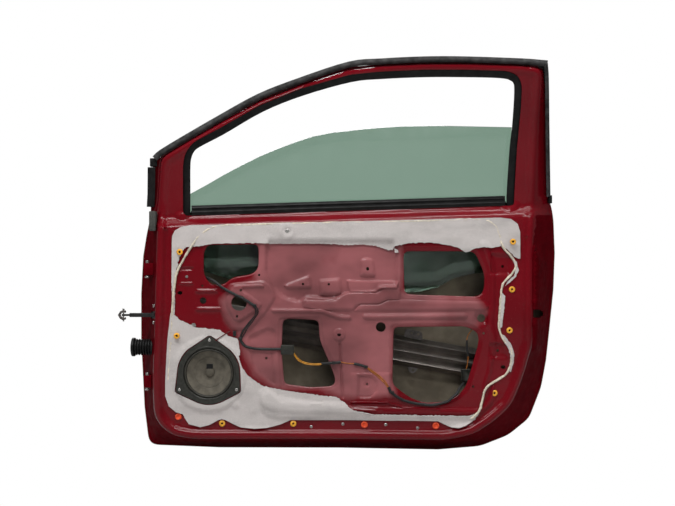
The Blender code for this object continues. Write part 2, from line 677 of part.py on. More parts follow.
for lip_index in range(3):
    lip_offset = -BELT_SEAL_HEIGHT + lip_index * LIP_PITCH
    belt_inner_section += [(lip_offset, -GLASS_TOUCH), (lip_offset + LIP_WIDTH, -GLASS_TOUCH),
                           (lip_offset + LIP_WIDTH, -LIP_ROOT)]
    if lip_index < 2:
        belt_inner_section.append((lip_offset + LIP_FOOT, -LIP_ROOT))
belt_inner_section.append((-BELT_SEAL_SEAT, -LIP_ROOT))
OUTER_LIP_HEIGHT = 14 * MM
OUTER_LIP_FOOT = 2 * MM
OUTER_LIP_INNER = 11 * MM
OUTER_LIP_DEPTH = 7 * MM
belt_outer_section = [(-OUTER_LIP_HEIGHT, GLASS_TOUCH), (-OUTER_LIP_HEIGHT, SEAL_FACE), (OUTER_LIP_FOOT, SEAL_FACE),
                      (OUTER_LIP_FOOT, OUTER_LIP_DEPTH), (-OUTER_LIP_INNER, OUTER_LIP_DEPTH),
                      (-OUTER_LIP_INNER, GLASS_TOUCH)]
BELT_ENDS_PX = (191.8, 505.2)
BELT_STEPS = 9
WEATHER_WIDTH = 17 * MM
weather_shares = [(-0.03, -0.59), (-0.03, 0.82), (-0.59, 0.82), (-0.94, 0.47), (-1, 0), (-0.7, -0.53), (-0.35, -0.76)]
weather_section = [(across * WEATHER_WIDTH, depth * WEATHER_WIDTH) for across, depth in weather_shares]
weather_path_px = [(166.0, 152.7), (180.0, 144.2), (194.0, 136.0), (220.0, 121.0), (260.0, 99.0), (301.0, 83.0),
                   (350.0, 67.0), (382.0, 64.0), (424.0, 62.0), (466.0, 62.0), (522.0, 64.0), (540.5, 65.6)]
rear_weather_path_px = [(545.2, 66.0), (546.3, 80.0), (546.6, 130.0), (547.4, 194.0)]
REAR_WEATHER_SHARE = 0.55


def belt_edge(columns):
    """Row of the straight top edge of the inner panel."""
    (front, low), (rear, high) = window_px[0], window_px[-1]
    return low + (high - low) * (np.asarray(columns) - front) / (rear - front)


def make_seals(group):
    """The glass run, the two belt seals, the frame's weatherstrip and the small pieces at its ends."""
    rubber = material("rubber_black", RUBBER_BLACK, 0.7)
    grey = material("seal_grey", SEAL_GREY, 0.8)
    sweep("glass_run_channel", group, rubber, run_path_px, run_section, glass_side)
    belt = [(column, float(belt_edge(column))) for column in np.linspace(*BELT_ENDS_PX, BELT_STEPS)]
    sweep("belt_seal_inner", group, rubber, belt, belt_inner_section, glass_side)
    sweep("belt_seal_outer", group, rubber, belt, belt_outer_section, glass_side)
    sweep("frame_weatherstrip", group, grey, weather_path_px, weather_section, glass_side)
    narrow = [(offset * REAR_WEATHER_SHARE, depth) for offset, depth in weather_section]
    sweep("rear_weatherstrip", group, grey, rear_weather_path_px, narrow, glass_side)


# Felt water shield: what is left of it, torn along its lower and upper edges
FELT = 3 * MM
FELT_CLEARANCE = 3 * MM
felt_upper_px = [
    (182.0, 227.5), (190.0, 225.6), (350.0, 222.0), (500.0, 218.0), (512.0, 220.0), (519.0, 228.0), (520.0, 258.0),
    (510.0, 254.0), (501.0, 246.0), (480.0, 248.5), (466.0, 252.0), (449.0, 245.0), (431.0, 242.5),
    (410.0, 243.0), (393.0, 250.0), (376.5, 246.0), (350.0, 245.0), (314.0, 243.5), (254.0, 243.0),
    (215.0, 243.5), (200.0, 246.0), (187.0, 247.0), (177.0, 250.0), (176.4, 314.0), (172.4, 314.0),
    (172.0, 240.0), (175.0, 231.0),
]
felt_lower_px = [
    (170.0, 315.0), (180.0, 320.0), (191.0, 325.0), (207.0, 328.4), (219.0, 329.7), (231.0, 337.0),
    (238.0, 339.0), (240.0, 351.0), (242.0, 367.0), (247.0, 375.0), (263.0, 386.0), (274.0, 388.4),
    (298.0, 392.4), (321.0, 395.4), (337.0, 397.0), (343.6, 402.0), (358.0, 411.5), (375.0, 414.4),
    (410.0, 415.0), (477.0, 415.0), (473.0, 421.0), (466.0, 426.0), (459.0, 428.4), (452.0, 427.7),
    (438.0, 421.0), (350.0, 419.6), (291.0, 419.5), (281.0, 424.0), (267.0, 428.0), (248.0, 428.5),
    (234.0, 424.0), (222.0, 419.0), (210.0, 424.6), (200.5, 427.0), (189.0, 424.0), (183.0, 414.0),
    (176.0, 412.0), (169.0, 406.0), (165.4, 396.0), (165.4, 380.0), (167.5, 340.0),
]
EAR_TIP_RADIUS = 10 * MM
ear_offsets = [(2.4 * MM, -98 * MM), (-86.5 * MM, 48.5 * MM), (82 * MM, 48.5 * MM)]
BASKET_SIDES = 42
TIP_SIDES = 14


def basket_loop(radius, tip):
    """Outline of the loudspeaker's flange in the picture, round with three ears on straight flanks."""
    rounds = [((0, 0), radius, BASKET_SIDES)] + [(ear, tip, TIP_SIDES) for ear in ear_offsets]
    points = sorted((across + size * math.cos(math.tau * step / sides), down + size * math.sin(math.tau * step / sides))
                    for (across, down), size, sides in rounds for step in range(sides))
    outline = []
    for ordered in (points, points[::-1]):
        start = len(outline)
        for point in ordered:
            while len(outline) - start >= 2 and turn(outline[-2], outline[-1], point) <= 0:
                outline.pop()
            outline.append(point)
        outline.pop()
    return [(SPEAKER_PX[0] + across / GRID_X, SPEAKER_PX[1] + down / GRID_Z) for across, down in outline]


def turn(first, middle, last):
    """Twice the area between three places, positive where they turn one way and negative the other."""
    return ((middle[0] - first[0]) * (last[1] - first[1])
            - (middle[1] - first[1]) * (last[0] - first[0]))


FELT_SPAN_PX = 13.0
FELT_STEP_PX = 10.5
RAY_START = 300 * MM
REST_SAMPLES = 25
ground = []


def stand_on(items):
    """Take the shapes of pieces as the ground that later pieces rest on."""
    graph = bpy.context.evaluated_depsgraph_get()
    for item in items:
        form = bmesh.new()
        form.from_mesh(item.evaluated_get(graph).to_mesh())
        form.transform(item.matrix_world)
        ground.append(BVHTree.FromBMesh(form))
        form.free()


def ground_depth(column, row):
    """Depth of the first ground on a line of sight, or nothing over an opening."""
    start = at(column, row, -RAY_START)
    sight = (at(column, row, RAY_START) - start).normalized()
    depths = [hit[0].y for hit in (tree.ray_cast(start, sight) for tree in ground) if hit[0]]
    return min(depths) + ORIGIN.y if depths else None


def rest_depth(column, row, reach):
    """Depth at which a piece of a given reach rests on the ground."""
    shares = np.linspace(-1, 1, REST_SAMPLES)
    found = [ground_depth(column + reach * across, row + reach * down)
             for across in shares for down in shares if math.hypot(across, down) <= 1]
    found = [depth for depth in found if depth is not None]
    return min(found) - GAP if found else rest_depth(column, row, reach * 2)


def felt_depth(points):
    """Depth of the middle of the felt, which bridges the hollows of the panel."""
    return np.array([rest_depth(*point, FELT_SPAN_PX) - FELT / 2 for point in points])


def make_shields(group):
    """The two remains of the felt water shield and its butyl bead."""
    felt = material("felt", DULL_FELT, 0.95)
    upper = sheet("felt_upper", group, felt, divided(felt_upper_px, FELT_STEP_PX), felt_depth,
                  step=FELT_STEP_PX, thickness=FELT)
    opening = basket_loop(SPEAKER_RADIUS + FELT_CLEARANCE, EAR_TIP_RADIUS + FELT_CLEARANCE)
    lower = sheet("felt_lower", group, felt, divided(felt_lower_px, FELT_STEP_PX), felt_depth, [opening],
                  step=FELT_STEP_PX, thickness=FELT)
    stand_on([upper, lower])
    butyl = material("butyl", BUTYL_CREAM, 0.6)
    for name, route in (("butyl_bead_front", bead_front_px), ("butyl_bead_rear", bead_rear_px)):
        tube(name, group, butyl, on_panel(route, BEAD_RADIUS, 2), BEAD_RADIUS)


BEAD_RADIUS = 3 * MM
REST_MARGIN_PX = 7.0
bead_front_px = [(209.6, 229.0), (199.0, 236.0), (190.0, 248.0), (182.0, 262.0), (176.0, 274.0), (173.4, 289.0),
                 (172.0, 304.0), (171.0, 330.0), (169.0, 360.0), (168.0, 380.0)]
bead_rear_px = [(488.0, 221.0), (496.0, 226.0), (500.0, 236.0), (503.0, 247.0), (512.0, 257.5), (516.0, 266.0),
                (511.0, 275.0), (503.0, 284.0), (500.7, 298.0), (500.0, 312.0), (499.0, 328.0), (504.0, 340.5),
                (511.0, 350.0), (510.6, 364.0), (505.0, 375.0), (492.0, 383.0), (485.0, 390.0), (482.0, 402.0),
                (479.0, 411.0), (471.0, 419.0)]


def on_panel(route, radius, steps):
    """A smooth route laid on the panel or its felt."""
    path = spread_path(route, steps)
    return [at(*point, rest_depth(*point, radius / GRID_X + REST_MARGIN_PX) - radius) for point in path]


# Loudspeaker profiles as shares of its radius: distance from the axis, height towards the cabin
FLANGE_BACK = 4.9 * MM
FLANGE_THICKNESS = 5 * MM
BASKET_HOLE_SHARE = 0.818
basket_shares = [(0, -0.34), (0.4, -0.34), (0.69, -0.12), (0.806, 0.036), (0.806, 0.09), (0.84, 0.09), (0.84, 0.036),
                 (0.727, -0.145), (0.424, -0.376), (0, -0.376)]
surround_shares = [(0.719, 0.073), (0.733, 0.109), (0.761, 0.121), (0.788, 0.109), (0.802, 0.073), (0.802, 0.053),
                   (0.719, 0.053)]
cone_shares = [(0.164, -0.158), (0.436, -0.061), (0.715, 0.073), (0.715, 0.053), (0.436, -0.078), (0.164, -0.175)]
dust_cap_shares = [(0, -0.067), (0.073, -0.078), (0.127, -0.109), (0.16, -0.153), (0.16, -0.17), (0, -0.17)]
magnet_shares = [(0, -0.38), (0.436, -0.38), (0.46, -0.404), (0.46, -0.545), (0.436, -0.57), (0, -0.57)]
SCREW_HEAD_RADIUS = 5 * MM
screw_head_shares = [(0, 0.6), (0.6, 0.56), (1, 0.28), (1, 0), (0, 0)]


def scaled(shares, size):
    """A profile of shares at its real size."""
    return [(across * size, height * size) for across, height in shares]


def make_speaker(group):
    """The loudspeaker, seated in its hole by a three-eared flange."""
    dark = material("speaker_frame", FRAME_DARK, 0.5)
    paper = material("speaker_cone", CONE_GREY, 0.8)
    rubber = material("speaker_rubber", RUBBER_BLACK, 0.6)
    steel = material("magnet_steel", STEEL_GREY, 0.45, 1.0)
    flange = at(*SPEAKER_PX, -FLANGE_BACK - FLANGE_THICKNESS / 2)
    centre = Vector((flange.x, -ORIGIN.y, flange.z))

    def flat(points):
        return np.full(len(points), -FLANGE_BACK - FLANGE_THICKNESS / 2)

    hole = disc_px(SPEAKER_PX, BASKET_HOLE_SHARE * SPEAKER_RADIUS, SPEAKER_SIDES)
    basket = sheet("speaker_basket", group, dark, basket_loop(SPEAKER_RADIUS, EAR_TIP_RADIUS), flat, [hole],
                   step=SPEAKER_RADIUS / GRID_X * 2, thickness=FLANGE_THICKNESS)
    bowl = turned("basket_bowl", group, dark, scaled(basket_shares, SPEAKER_RADIUS), centre, sides=SPEAKER_SIDES)
    join(basket, bowl)
    turned("speaker_surround", group, rubber, scaled(surround_shares, SPEAKER_RADIUS), centre, sides=SPEAKER_SIDES)
    turned("speaker_cone", group, paper, scaled(cone_shares, SPEAKER_RADIUS), centre, sides=SPEAKER_SIDES)
    turned("speaker_dust_cap", group, paper, scaled(dust_cap_shares, SPEAKER_RADIUS), centre, sides=SMALL_SIDES)
    turned("speaker_magnet", group, steel, scaled(magnet_shares, SPEAKER_RADIUS), centre, sides=SPEAKER_SIDES)
    for index, (across, down) in enumerate(ear_offsets):
        ear = (SPEAKER_PX[0] + across / GRID_X, SPEAKER_PX[1] + down / GRID_Z)
        seat = at(*ear, -FLANGE_BACK - FLANGE_THICKNESS - GAP)
        turned(f"speaker_screw_{index + 1}", group, steel, scaled(screw_head_shares, SCREW_HEAD_RADIUS), seat,
               sides=SCREW_SIDES)


# Fasteners seen from the cabin: column, row
yellow_clips_px = [(179.8, 252.0), (176.8, 335.8), (222.2, 423.3), (293.3, 423.5), (512.9, 241.8), (511.9, 289.4),
                   (509.5, 330.3), (494.3, 393.0)]
red_plugs_px = [(178.5, 416.6), (364.4, 424.6), (435.8, 425.6)]
CLIP_RADIUS = 9 * MM
clip_shares = [(0, 0.18), (0.36, 0.18), (0.47, 0.51), (0.78, 0.51), (1, 0.33), (1, 0), (0, 0)]
PLUG_RADIUS = 10 * MM
plug_shares = [(0, 0.22), (0.5, 0.22), (0.6, 0.4), (0.85, 0.4), (1, 0.24), (1, 0), (0, 0)]


def make_fasteners(group):
    """The trim clips and the rubber plugs."""
    yellow = material("clip_yellow", CLIP_YELLOW, 0.5)
    orange = material("plug_red", PLUG_RED, 0.5)
    for index, (column, row) in enumerate(yellow_clips_px):
        seat = at(column, row, rest_depth(column, row, CLIP_RADIUS / GRID_X))
        turned(f"trim_clip_{index + 1}", group, yellow, scaled(clip_shares, CLIP_RADIUS), seat, sides=SCREW_SIDES)
    for index, (column, row) in enumerate(red_plugs_px):
        seat = at(column, row, rest_depth(column, row, PLUG_RADIUS / GRID_X))
        turned(f"drain_plug_{index + 1}", group, orange, scaled(plug_shares, PLUG_RADIUS), seat, sides=SCREW_SIDES)


# Pieces on the hinge face: rows of the picture and sizes in metres
WALL_REACH = 90 * MM
WALL_RUNOUT = 40 * MM
WALL_CLEARANCE = 0.8 * MM
HINGE_CLEARANCE = 1.2 * MM
GAITER_CLEARANCE = 1.6 * MM
FOAM_CLEARANCE = 4.6 * MM
CUTTER_ROWS = 7
CUTTER_RUNOUT_PX = 6.0
FOOT_MARGIN_PX = 0.05


def edge_column(loop, row):
    """Column of a loop's front edge at a row."""
    found = []
    for a, b in zip(loop, [*loop[1:], loop[0]]):
        if (a[1] - row) * (b[1] - row) <= 0 and a[1] != b[1]:
            found.append(mix(a[0], b[0], (row - a[1]) / (b[1] - a[1])))
    return min(found)


def wall_line(row, side, clearance=WALL_CLEARANCE):
    """Two points of the hinge face at a row, moved off the sheet to its front (-1) or its inside (1)."""
    foot_column = edge_column(inset(SKIN_LOOP, FLANGE_FOOT_PX), row)
    rim_column = edge_column(RIM_LOOP, row)
    rim = at(rim_column, row, float(panel_depth([(rim_column, row)])[0]))
    foot = at(foot_column, row, float(panel_depth([(foot_column - FOOT_MARGIN_PX, row)])[0]))
    along = (foot - rim).normalized()
    normal = Vector((along.y, -along.x, 0)).normalized() * side
    off = normal * (SHEET / 2 + clearance)
    return rim + off - along * WALL_RUNOUT, foot + off + along * WALL_RUNOUT


def wall_cutter(name, group, rows, side, clearance=WALL_CLEARANCE):
    """A block that takes away what lies behind the hinge face (side -1) or in front of it (side 1)."""
    rings = []
    for row in np.linspace(rows[0] - CUTTER_RUNOUT_PX, rows[1] + CUTTER_RUNOUT_PX, CUTTER_ROWS):
        rim, foot = wall_line(row, side, clearance)
        far = Vector((-side * WALL_REACH, 0, 0))
        rings.append([rim, foot, foot + far, rim + far])
    cutter = loft(name, group, None, rings)
    cutter.hide_render = True
    cutter.display_type = "WIRE"
    return cutter


def block_px(name, group, paint, columns, rows, depths, bevel=0.0):
    """A box that spans columns, rows and depths of the picture."""
    middle = sum(depths) / 2
    low = at(columns[0], rows[1], middle)
    high = at(columns[1], rows[0], middle)
    size = (high.x - low.x, depths[1] - depths[0], high.z - low.z)
    return box(name, group, paint, size, (low + high) / 2, bevel=bevel)


HINGE_ROWS_PX = {"upper": (263.0, 275.0), "lower": (374.5, 386.5)}
HINGE_FRONT_PX = HINGE_FACE_PX[0]
HINGE_BACK_PX = 160.0
HINGE_HALF_DEPTH = 22 * MM
HINGE_EDGE = 1 * MM
HINGE_PIN_RADIUS = 5 * MM
HINGE_PIN_LENGTH = 52 * MM
HINGE_PIN_HEAD = 5 * MM
PIN_CHAMFER = 1 * MM
PIN_INSET = 9 * MM
PIN_FORWARD = 14 * MM
PIN_CLEARANCE = 0.3 * MM
PIN_SIDES = 20


def make_hinges(group, cutters):
    """The door's two hinge brackets with their pins."""
    steel = material("hinge_steel", STEEL_GREY, 0.5, 0.6)
    depths = (HINGE_DEPTH - HINGE_HALF_DEPTH, HINGE_DEPTH + HINGE_HALF_DEPTH)
    for name, rows in HINGE_ROWS_PX.items():
        bracket = block_px(f"hinge_{name}", group, steel, (HINGE_FRONT_PX, HINGE_BACK_PX), rows, depths, HINGE_EDGE)
        cut(bracket, wall_cutter(f"{name}_wall", cutters, rows, -1, HINGE_CLEARANCE))
        front = at(HINGE_FRONT_PX, sum(rows) / 2, HINGE_DEPTH)
        pin_place = front + Vector((PIN_INSET, -PIN_FORWARD, 0))
        hole = HINGE_PIN_RADIUS + PIN_CLEARANCE
        bore = turned(f"{name}_bore", cutters, None, [
            (0, HINGE_PIN_LENGTH), (hole, HINGE_PIN_LENGTH), (hole, -HINGE_PIN_LENGTH), (0, -HINGE_PIN_LENGTH)],
            pin_place, (0, 0, 1), PIN_SIDES)
        cut(bracket, bore)
        half = HINGE_PIN_LENGTH / 2
        neck = HINGE_PIN_HEAD - half
        head = HINGE_PIN_RADIUS * 1.5
        pin = [(0, half), (HINGE_PIN_RADIUS - PIN_CHAMFER, half), (HINGE_PIN_RADIUS, half - PIN_CHAMFER),
               (HINGE_PIN_RADIUS, neck), (head, neck), (head, -half), (0, -half)]
        turned(f"hinge_pin_{name}", group, steel, pin, pin_place, (0, 0, 1), PIN_SIDES)


# Check strap and its housing
STRAP_ROW_PX = 315.0
STRAP_PIN_PX = 123.5
STRAP_TAIL_PX = 172.0
STRAP_DEPTH = 17 * MM
STRAP_HEIGHT = 12 * MM
STRAP_THICKNESS = 5 * MM
STRAP_EDGE = 1 * MM
STRAP_GRIP = 18 * MM
TONGUE_LAP = 12 * MM
TONGUE_THICKNESS = 4 * MM
TONGUE_HEIGHT = 6 * MM
EYE_RADIUS = 5 * MM
CHECK_PIN_RADIUS = 2.2 * MM
CHECK_PIN_HEAD = 3.6 * MM
CHECK_HEAD_HEIGHT = 2.8 * MM
CHECK_PIN_LENGTH = 38 * MM
STIRRUP_RADIUS = 15.5 * MM
STIRRUP_WIDTH = 12 * MM
stirrup_shares = [(0.42, 0.84), (0, 1), (-0.58, 0.71), (-1, 0), (-0.58, -0.71), (0, -1), (0.42, -0.84), (0.42, -0.42),
                  (0, -0.55), (-0.42, -0.32), (-0.61, 0), (-0.42, 0.32), (0, 0.55), (0.42, 0.42)]
HOUSING_COLUMNS_PX = (150.0, 166.0)
HOUSING_ROWS_PX = (307.0, 323.0)
HOUSING_SLOT_PX = 158.0
HOUSING_FRONT = 12 * MM
HOUSING_BACK = 14 * MM
HOUSING_EDGE = 1 * MM
SLOT_CLEARANCE = 0.5 * MM
CHECK_BOLT_ROWS_PX = {"upper": 305.8, "lower": 322.4}
CHECK_BOLT_STEP = 16 * MM
CHECK_BOLT_RADIUS = 5 * MM
bolt_shares = [(0, 0.8), (0.8, 0.8), (1, 0.6), (1, 0), (0, 0)]


def make_check(group, cutters):
    """The check strap, its housing in the door, its pillar bracket and pin, and the housing's bolts."""
    black = material("strap_black", RUBBER_BLACK, 0.45, 0.4)
    steel = material("check_steel", STEEL_GREY, 0.45, 1.0)
    bright = material("bolt_zinc", BRIGHT_METAL, 0.35, 1.0)
    pivot = at(STRAP_PIN_PX, STRAP_ROW_PX, STRAP_DEPTH)
    tail = at(STRAP_TAIL_PX, STRAP_ROW_PX, STRAP_DEPTH)
    upright = (0, 0, 1)
    arm = box("check_arm", group, black, (tail.x - pivot.x - STRAP_GRIP, STRAP_THICKNESS, STRAP_HEIGHT),
              (pivot + tail) / 2 + Vector((STRAP_GRIP / 2, 0, 0)), bevel=STRAP_EDGE)
    tongue = box("check_tongue", cutters, steel, (STRAP_GRIP + TONGUE_LAP / 2, TONGUE_THICKNESS, TONGUE_HEIGHT),
                 pivot + Vector((STRAP_GRIP / 2 + TONGUE_LAP / 4, 0, 0)))
    join(arm, tongue)
    half = TONGUE_HEIGHT / 2
    eye = turned("check_eye", cutters, None, [(0, half), (EYE_RADIUS, half), (EYE_RADIUS, -half), (0, -half)],
                 pivot, upright, PIN_SIDES)
    join(arm, eye)
    hole = CHECK_PIN_RADIUS + PIN_CLEARANCE
    reach = CHECK_PIN_LENGTH
    bore = [(0, reach), (hole, reach), (hole, -reach), (0, -reach)]
    cut(arm, turned("check_bore", cutters, None, bore, pivot, upright, SMALL_SIDES))
    rings = [[pivot + Vector((across, depth, height)) for across, height in scaled(stirrup_shares, STIRRUP_RADIUS)]
             for depth in (-STIRRUP_WIDTH / 2, STIRRUP_WIDTH / 2)]
    bracket = loft("check_bracket", group, steel, rings)
    cut(bracket, turned("bracket_bore", cutters, None, bore, pivot, upright, SMALL_SIDES))
    top = CHECK_PIN_LENGTH / 2
    neck = top - CHECK_HEAD_HEIGHT
    turned("check_pin", group, steel, [(0, top), (CHECK_PIN_HEAD, top), (CHECK_PIN_HEAD, neck),
                                       (CHECK_PIN_RADIUS, neck), (CHECK_PIN_RADIUS, -top), (0, -top)],
           pivot, upright, SMALL_SIDES)
    housing = block_px("check_housing", group, steel, HOUSING_COLUMNS_PX, HOUSING_ROWS_PX,
                       (STRAP_DEPTH - HOUSING_FRONT, STRAP_DEPTH + HOUSING_BACK), HOUSING_EDGE)
    cut(housing, wall_cutter("housing_wall", cutters, HOUSING_ROWS_PX, 1))
    slot = (WALL_REACH * 2, STRAP_THICKNESS + SLOT_CLEARANCE * 2, STRAP_HEIGHT + SLOT_CLEARANCE * 2)
    cut(housing, box("housing_slot", cutters, None, slot, at(HOUSING_SLOT_PX, STRAP_ROW_PX, STRAP_DEPTH)))
    for name, row in CHECK_BOLT_ROWS_PX.items():
        rim, foot = wall_line(row, -1)
        along = (foot - rim).normalized()
        normal = Vector((-along.y, along.x, 0))
        seat = rim + along * (WALL_RUNOUT + CHECK_BOLT_STEP)
        turned(f"check_bolt_{name}", group, bright, scaled(bolt_shares, CHECK_BOLT_RADIUS), seat, normal,
               SCREW_SIDES)


# Bellows round the wires to the body
GAITER_COLUMN_PX = 154.0
GAITER_ROW_PX = 347.0
GAITER_DEPTH = 36 * MM
GAITER_MOUTH = 28 * MM
GAITER_RADIUS = 24.5 * MM
GAITER_LENGTH = 66 * MM
GAITER_FLARE = 11 * MM
GAITER_GROOVE = 5 * MM
GAITER_ROOT = 30 * MM
GAITER_RIBS = 7
gaiter_mouth_shares = [(0.71, 0), (1, 0.18), (1, 0.82)]


def make_gaiter(group, cutters):
    """The bellows that carries the wires to the body, with its flared mouth."""
    rubber = material("gaiter_rubber", RUBBER_BLACK, 0.6)
    profile = [(0, GAITER_LENGTH)]
    profile += [(across * GAITER_MOUTH, GAITER_LENGTH - drop * GAITER_FLARE) for across, drop in gaiter_mouth_shares]
    pitch = (GAITER_LENGTH - GAITER_FLARE) / GAITER_RIBS
    for rib in range(GAITER_RIBS):
        top = GAITER_LENGTH - GAITER_FLARE - rib * pitch
        profile += [(GAITER_RADIUS - GAITER_GROOVE, top), (GAITER_RADIUS, top - pitch * 0.35),
                    (GAITER_RADIUS, top - pitch * 0.6)]
    profile += [(GAITER_RADIUS - GAITER_GROOVE, -GAITER_ROOT), (0, -GAITER_ROOT)]
    seat = at(GAITER_COLUMN_PX, GAITER_ROW_PX, GAITER_DEPTH)
    gaiter = turned("wiring_gaiter", group, rubber, profile, seat, (-1, 0, 0), SMALL_SIDES)
    half = GAITER_RADIUS / GRID_Z
    rows = (GAITER_ROW_PX - half, GAITER_ROW_PX + half)
    cut(gaiter, wall_cutter("gaiter_wall", cutters, rows, -1, GAITER_CLEARANCE))


# Trims along the front edge of the window frame, and the cap at its rear foot
TRIM_HALF_WIDTH = 11.4 * MM
TRIM_NEAR = 2 * MM
TRIM_FAR = 13 * MM
TRIM_FOLD = 2.5 * MM
TRIM_ROW_PX = 188.0
trim_path_px = [(151.5, 167.2), (151.5, 180.0), (151.3, 194.0), (150.6, 207.0)]
trim_section = [(-TRIM_HALF_WIDTH, TRIM_NEAR), (-TRIM_HALF_WIDTH, TRIM_FAR), (TRIM_HALF_WIDTH - TRIM_FOLD, TRIM_FAR),
                (TRIM_HALF_WIDTH, TRIM_FAR - TRIM_FOLD), (TRIM_HALF_WIDTH, TRIM_NEAR + TRIM_FOLD),
                (TRIM_HALF_WIDTH - TRIM_FOLD, TRIM_NEAR)]
CORNER_COLUMNS_PX = (150.4, 157.8)
CORNER_ROWS_PX = (158.4, 166.8)
CORNER_FRONT = 6 * MM
CORNER_BACK = 12 * MM
FOAM_COLUMNS_PX = (150.7, 157.2)
FOAM_ROWS_PX = (211.5, 231.0)
FOAM_DEPTHS = (-8 * MM, 40 * MM)
TRIM_EDGE = 2 * MM
CAP_COLUMNS_PX = (548.1, 551.6)
CAP_ROWS_PX = (195.4, 203.4)
CAP_FRONT = 4 * MM
CAP_BACK = 10 * MM
CAP_EDGE = 1 * MM


def make_front_trims(group, cutters):
    """The seals and foam along the front edge of the frame."""
    rubber = material("trim_black", RUBBER_BLACK, 0.7)
    foam = material("foam", FOAM_GREY, 0.95)
    depth = float(glass_depth([TRIM_ROW_PX])[0])
    block_px("front_corner_block", group, rubber, CORNER_COLUMNS_PX, CORNER_ROWS_PX,
             (depth - CORNER_FRONT, depth + CORNER_BACK), TRIM_EDGE)
    sweep("front_trim_strip", group, rubber, trim_path_px, trim_section, glass_side)
    pad = block_px("front_foam_block", group, foam, FOAM_COLUMNS_PX, FOAM_ROWS_PX, FOAM_DEPTHS, TRIM_EDGE)
    cut(pad, wall_cutter("foam_wall", cutters, FOAM_ROWS_PX, -1, FOAM_CLEARANCE))
    edge = float(glass_depth([sum(CAP_ROWS_PX) / 2])[0])
    block_px("rear_corner_cap", group, rubber, CAP_COLUMNS_PX, CAP_ROWS_PX, (edge - CAP_FRONT, edge + CAP_BACK),
             CAP_EDGE)


# Steel inside the door
BEAM_WIDTH = 92 * MM
BEAM_FLUTES = 3
BEAM_SWELL = 10 * MM
BEAM_SHEET = 2 * MM
BEAM_POINTS = 24
BEAM_DEPTH = 108 * MM
BRACKET_SHEET = 2 * MM
beam_line_px = [(172.0, 309.2), (522.0, 372.2)]
FRONT_BRACKET_PX = ((138.0, 190.0), (290.0, 328.0))
REAR_BRACKET_PX = ((500.0, 533.0), (354.0, 388.0))
STRIP_ENDS_PX = (195.0, 502.0)
STRIP_WIDTH = 35 * MM
INNER_STRIP_TOP = 1 * MM
INNER_STRIP_DEPTH = -29.1 * MM
OUTER_STRIP_TOP = 3 * MM
OUTER_STRIP_DEPTH = 11.4 * MM
STRIP_SHEET = 1.6 * MM
REINFORCEMENT_ROWS_PX = (250.0, 302.0)
REINFORCEMENT_STEPS = 5
REINFORCEMENT_INSET = 22 * MM
REINFORCEMENT_WIDTH = 62 * MM


def flat_strip(top, depth):
    """Section of a flat strip below the belt line."""
    low = top + STRIP_WIDTH
    return [(top, depth), (top, depth + STRIP_SHEET), (low, depth + STRIP_SHEET), (low, depth)]


def make_inside(group, cutters):
    """The side impact beam with its end brackets, and the reinforcements of belt and hinge face."""
    steel = material("beam_steel", STEEL_GREY, 0.6, 0.5)
    ends = [at(*point, BEAM_DEPTH) for point in beam_line_px]
    along = (ends[1] - ends[0]).normalized()
    across = Vector((along.z, 0, -along.x))
    rings = []
    for end in ends:
        face = []
        for index in range(BEAM_POINTS + 1):
            share = index / BEAM_POINTS
            wave = BEAM_SWELL * math.cos(math.tau * BEAM_FLUTES * share)
            face.append(end + across * BEAM_WIDTH * (share - 0.5) + Vector((0, wave, 0)))
        back = [point + Vector((0, BEAM_SHEET, 0)) for point in reversed(face)]
        rings.append(face + back)
    loft("intrusion_beam", group, steel, rings)
    plate = BEAM_DEPTH - BEAM_SWELL - GAP
    depths = (plate - BRACKET_SHEET, plate)
    front = block_px("beam_bracket_front", group, steel, *FRONT_BRACKET_PX, depths)
    cut(front, wall_cutter("front_bracket_wall", cutters, FRONT_BRACKET_PX[1], 1))
    block_px("beam_bracket_rear", group, steel, *REAR_BRACKET_PX, depths)
    belt = [(column, float(belt_edge(column))) for column in np.linspace(*STRIP_ENDS_PX, BELT_STEPS)]
    sweep("belt_reinforcement_inner", group, steel, belt, flat_strip(INNER_STRIP_TOP, INNER_STRIP_DEPTH), glass_side)
    sweep("belt_reinforcement_outer", group, steel, belt, flat_strip(OUTER_STRIP_TOP, OUTER_STRIP_DEPTH), glass_side)
    rings = []
    for row in np.linspace(*REINFORCEMENT_ROWS_PX, REINFORCEMENT_STEPS):
        rim, foot = wall_line(row, 1)
        step = (foot - rim).normalized()
        start = rim + step * (WALL_RUNOUT + REINFORCEMENT_INSET)
        stop = start + step * REINFORCEMENT_WIDTH
        inwards = Vector((step.y, -step.x, 0)) * BRACKET_SHEET
        rings.append([start, stop, stop + inwards, start + inwards])
    loft("hinge_reinforcement", group, steel, rings)


# Wiring loom, clipped along the panel: its places in the picture
loom_front_px = [(222.5, 287.6), (232.0, 293.0), (244.0, 299.0), (254.0, 305.5), (256.4, 312.0), (249.0, 324.0),
                 (241.5, 333.0), (240.5, 339.5), (247.0, 346.5), (260.0, 349.0), (280.8, 349.0)]
loom_rear_px = [(295.1, 352.6), (300.0, 359.5), (305.0, 362.5), (322.0, 363.5), (340.5, 362.5), (356.0, 364.0),
                (367.0, 367.2), (376.0, 373.6), (386.0, 382.0), (392.0, 393.0), (404.6, 401.0), (420.0, 404.6),
                (434.0, 405.6), (445.0, 404.8)]
loom_start_px = [(206.5, 277.5), (210.5, 279.3), (215.0, 281.6)]
loom_start_depths = [20 * MM, 3 * MM, -9 * MM]
loom_finish_px = [(452.0, 400.5), (457.0, 393.6), (459.5, 388.0), (462.5, 384.4), (464.0, 382.4)]
loom_finish_depths = [-11 * MM, -8 * MM, 6 * MM, 24 * MM, 33 * MM]
LOOM_RADIUS = 4 * MM
FRONT_CONNECTOR_PX = ((281.0, 294.0), (345.0, 354.4))
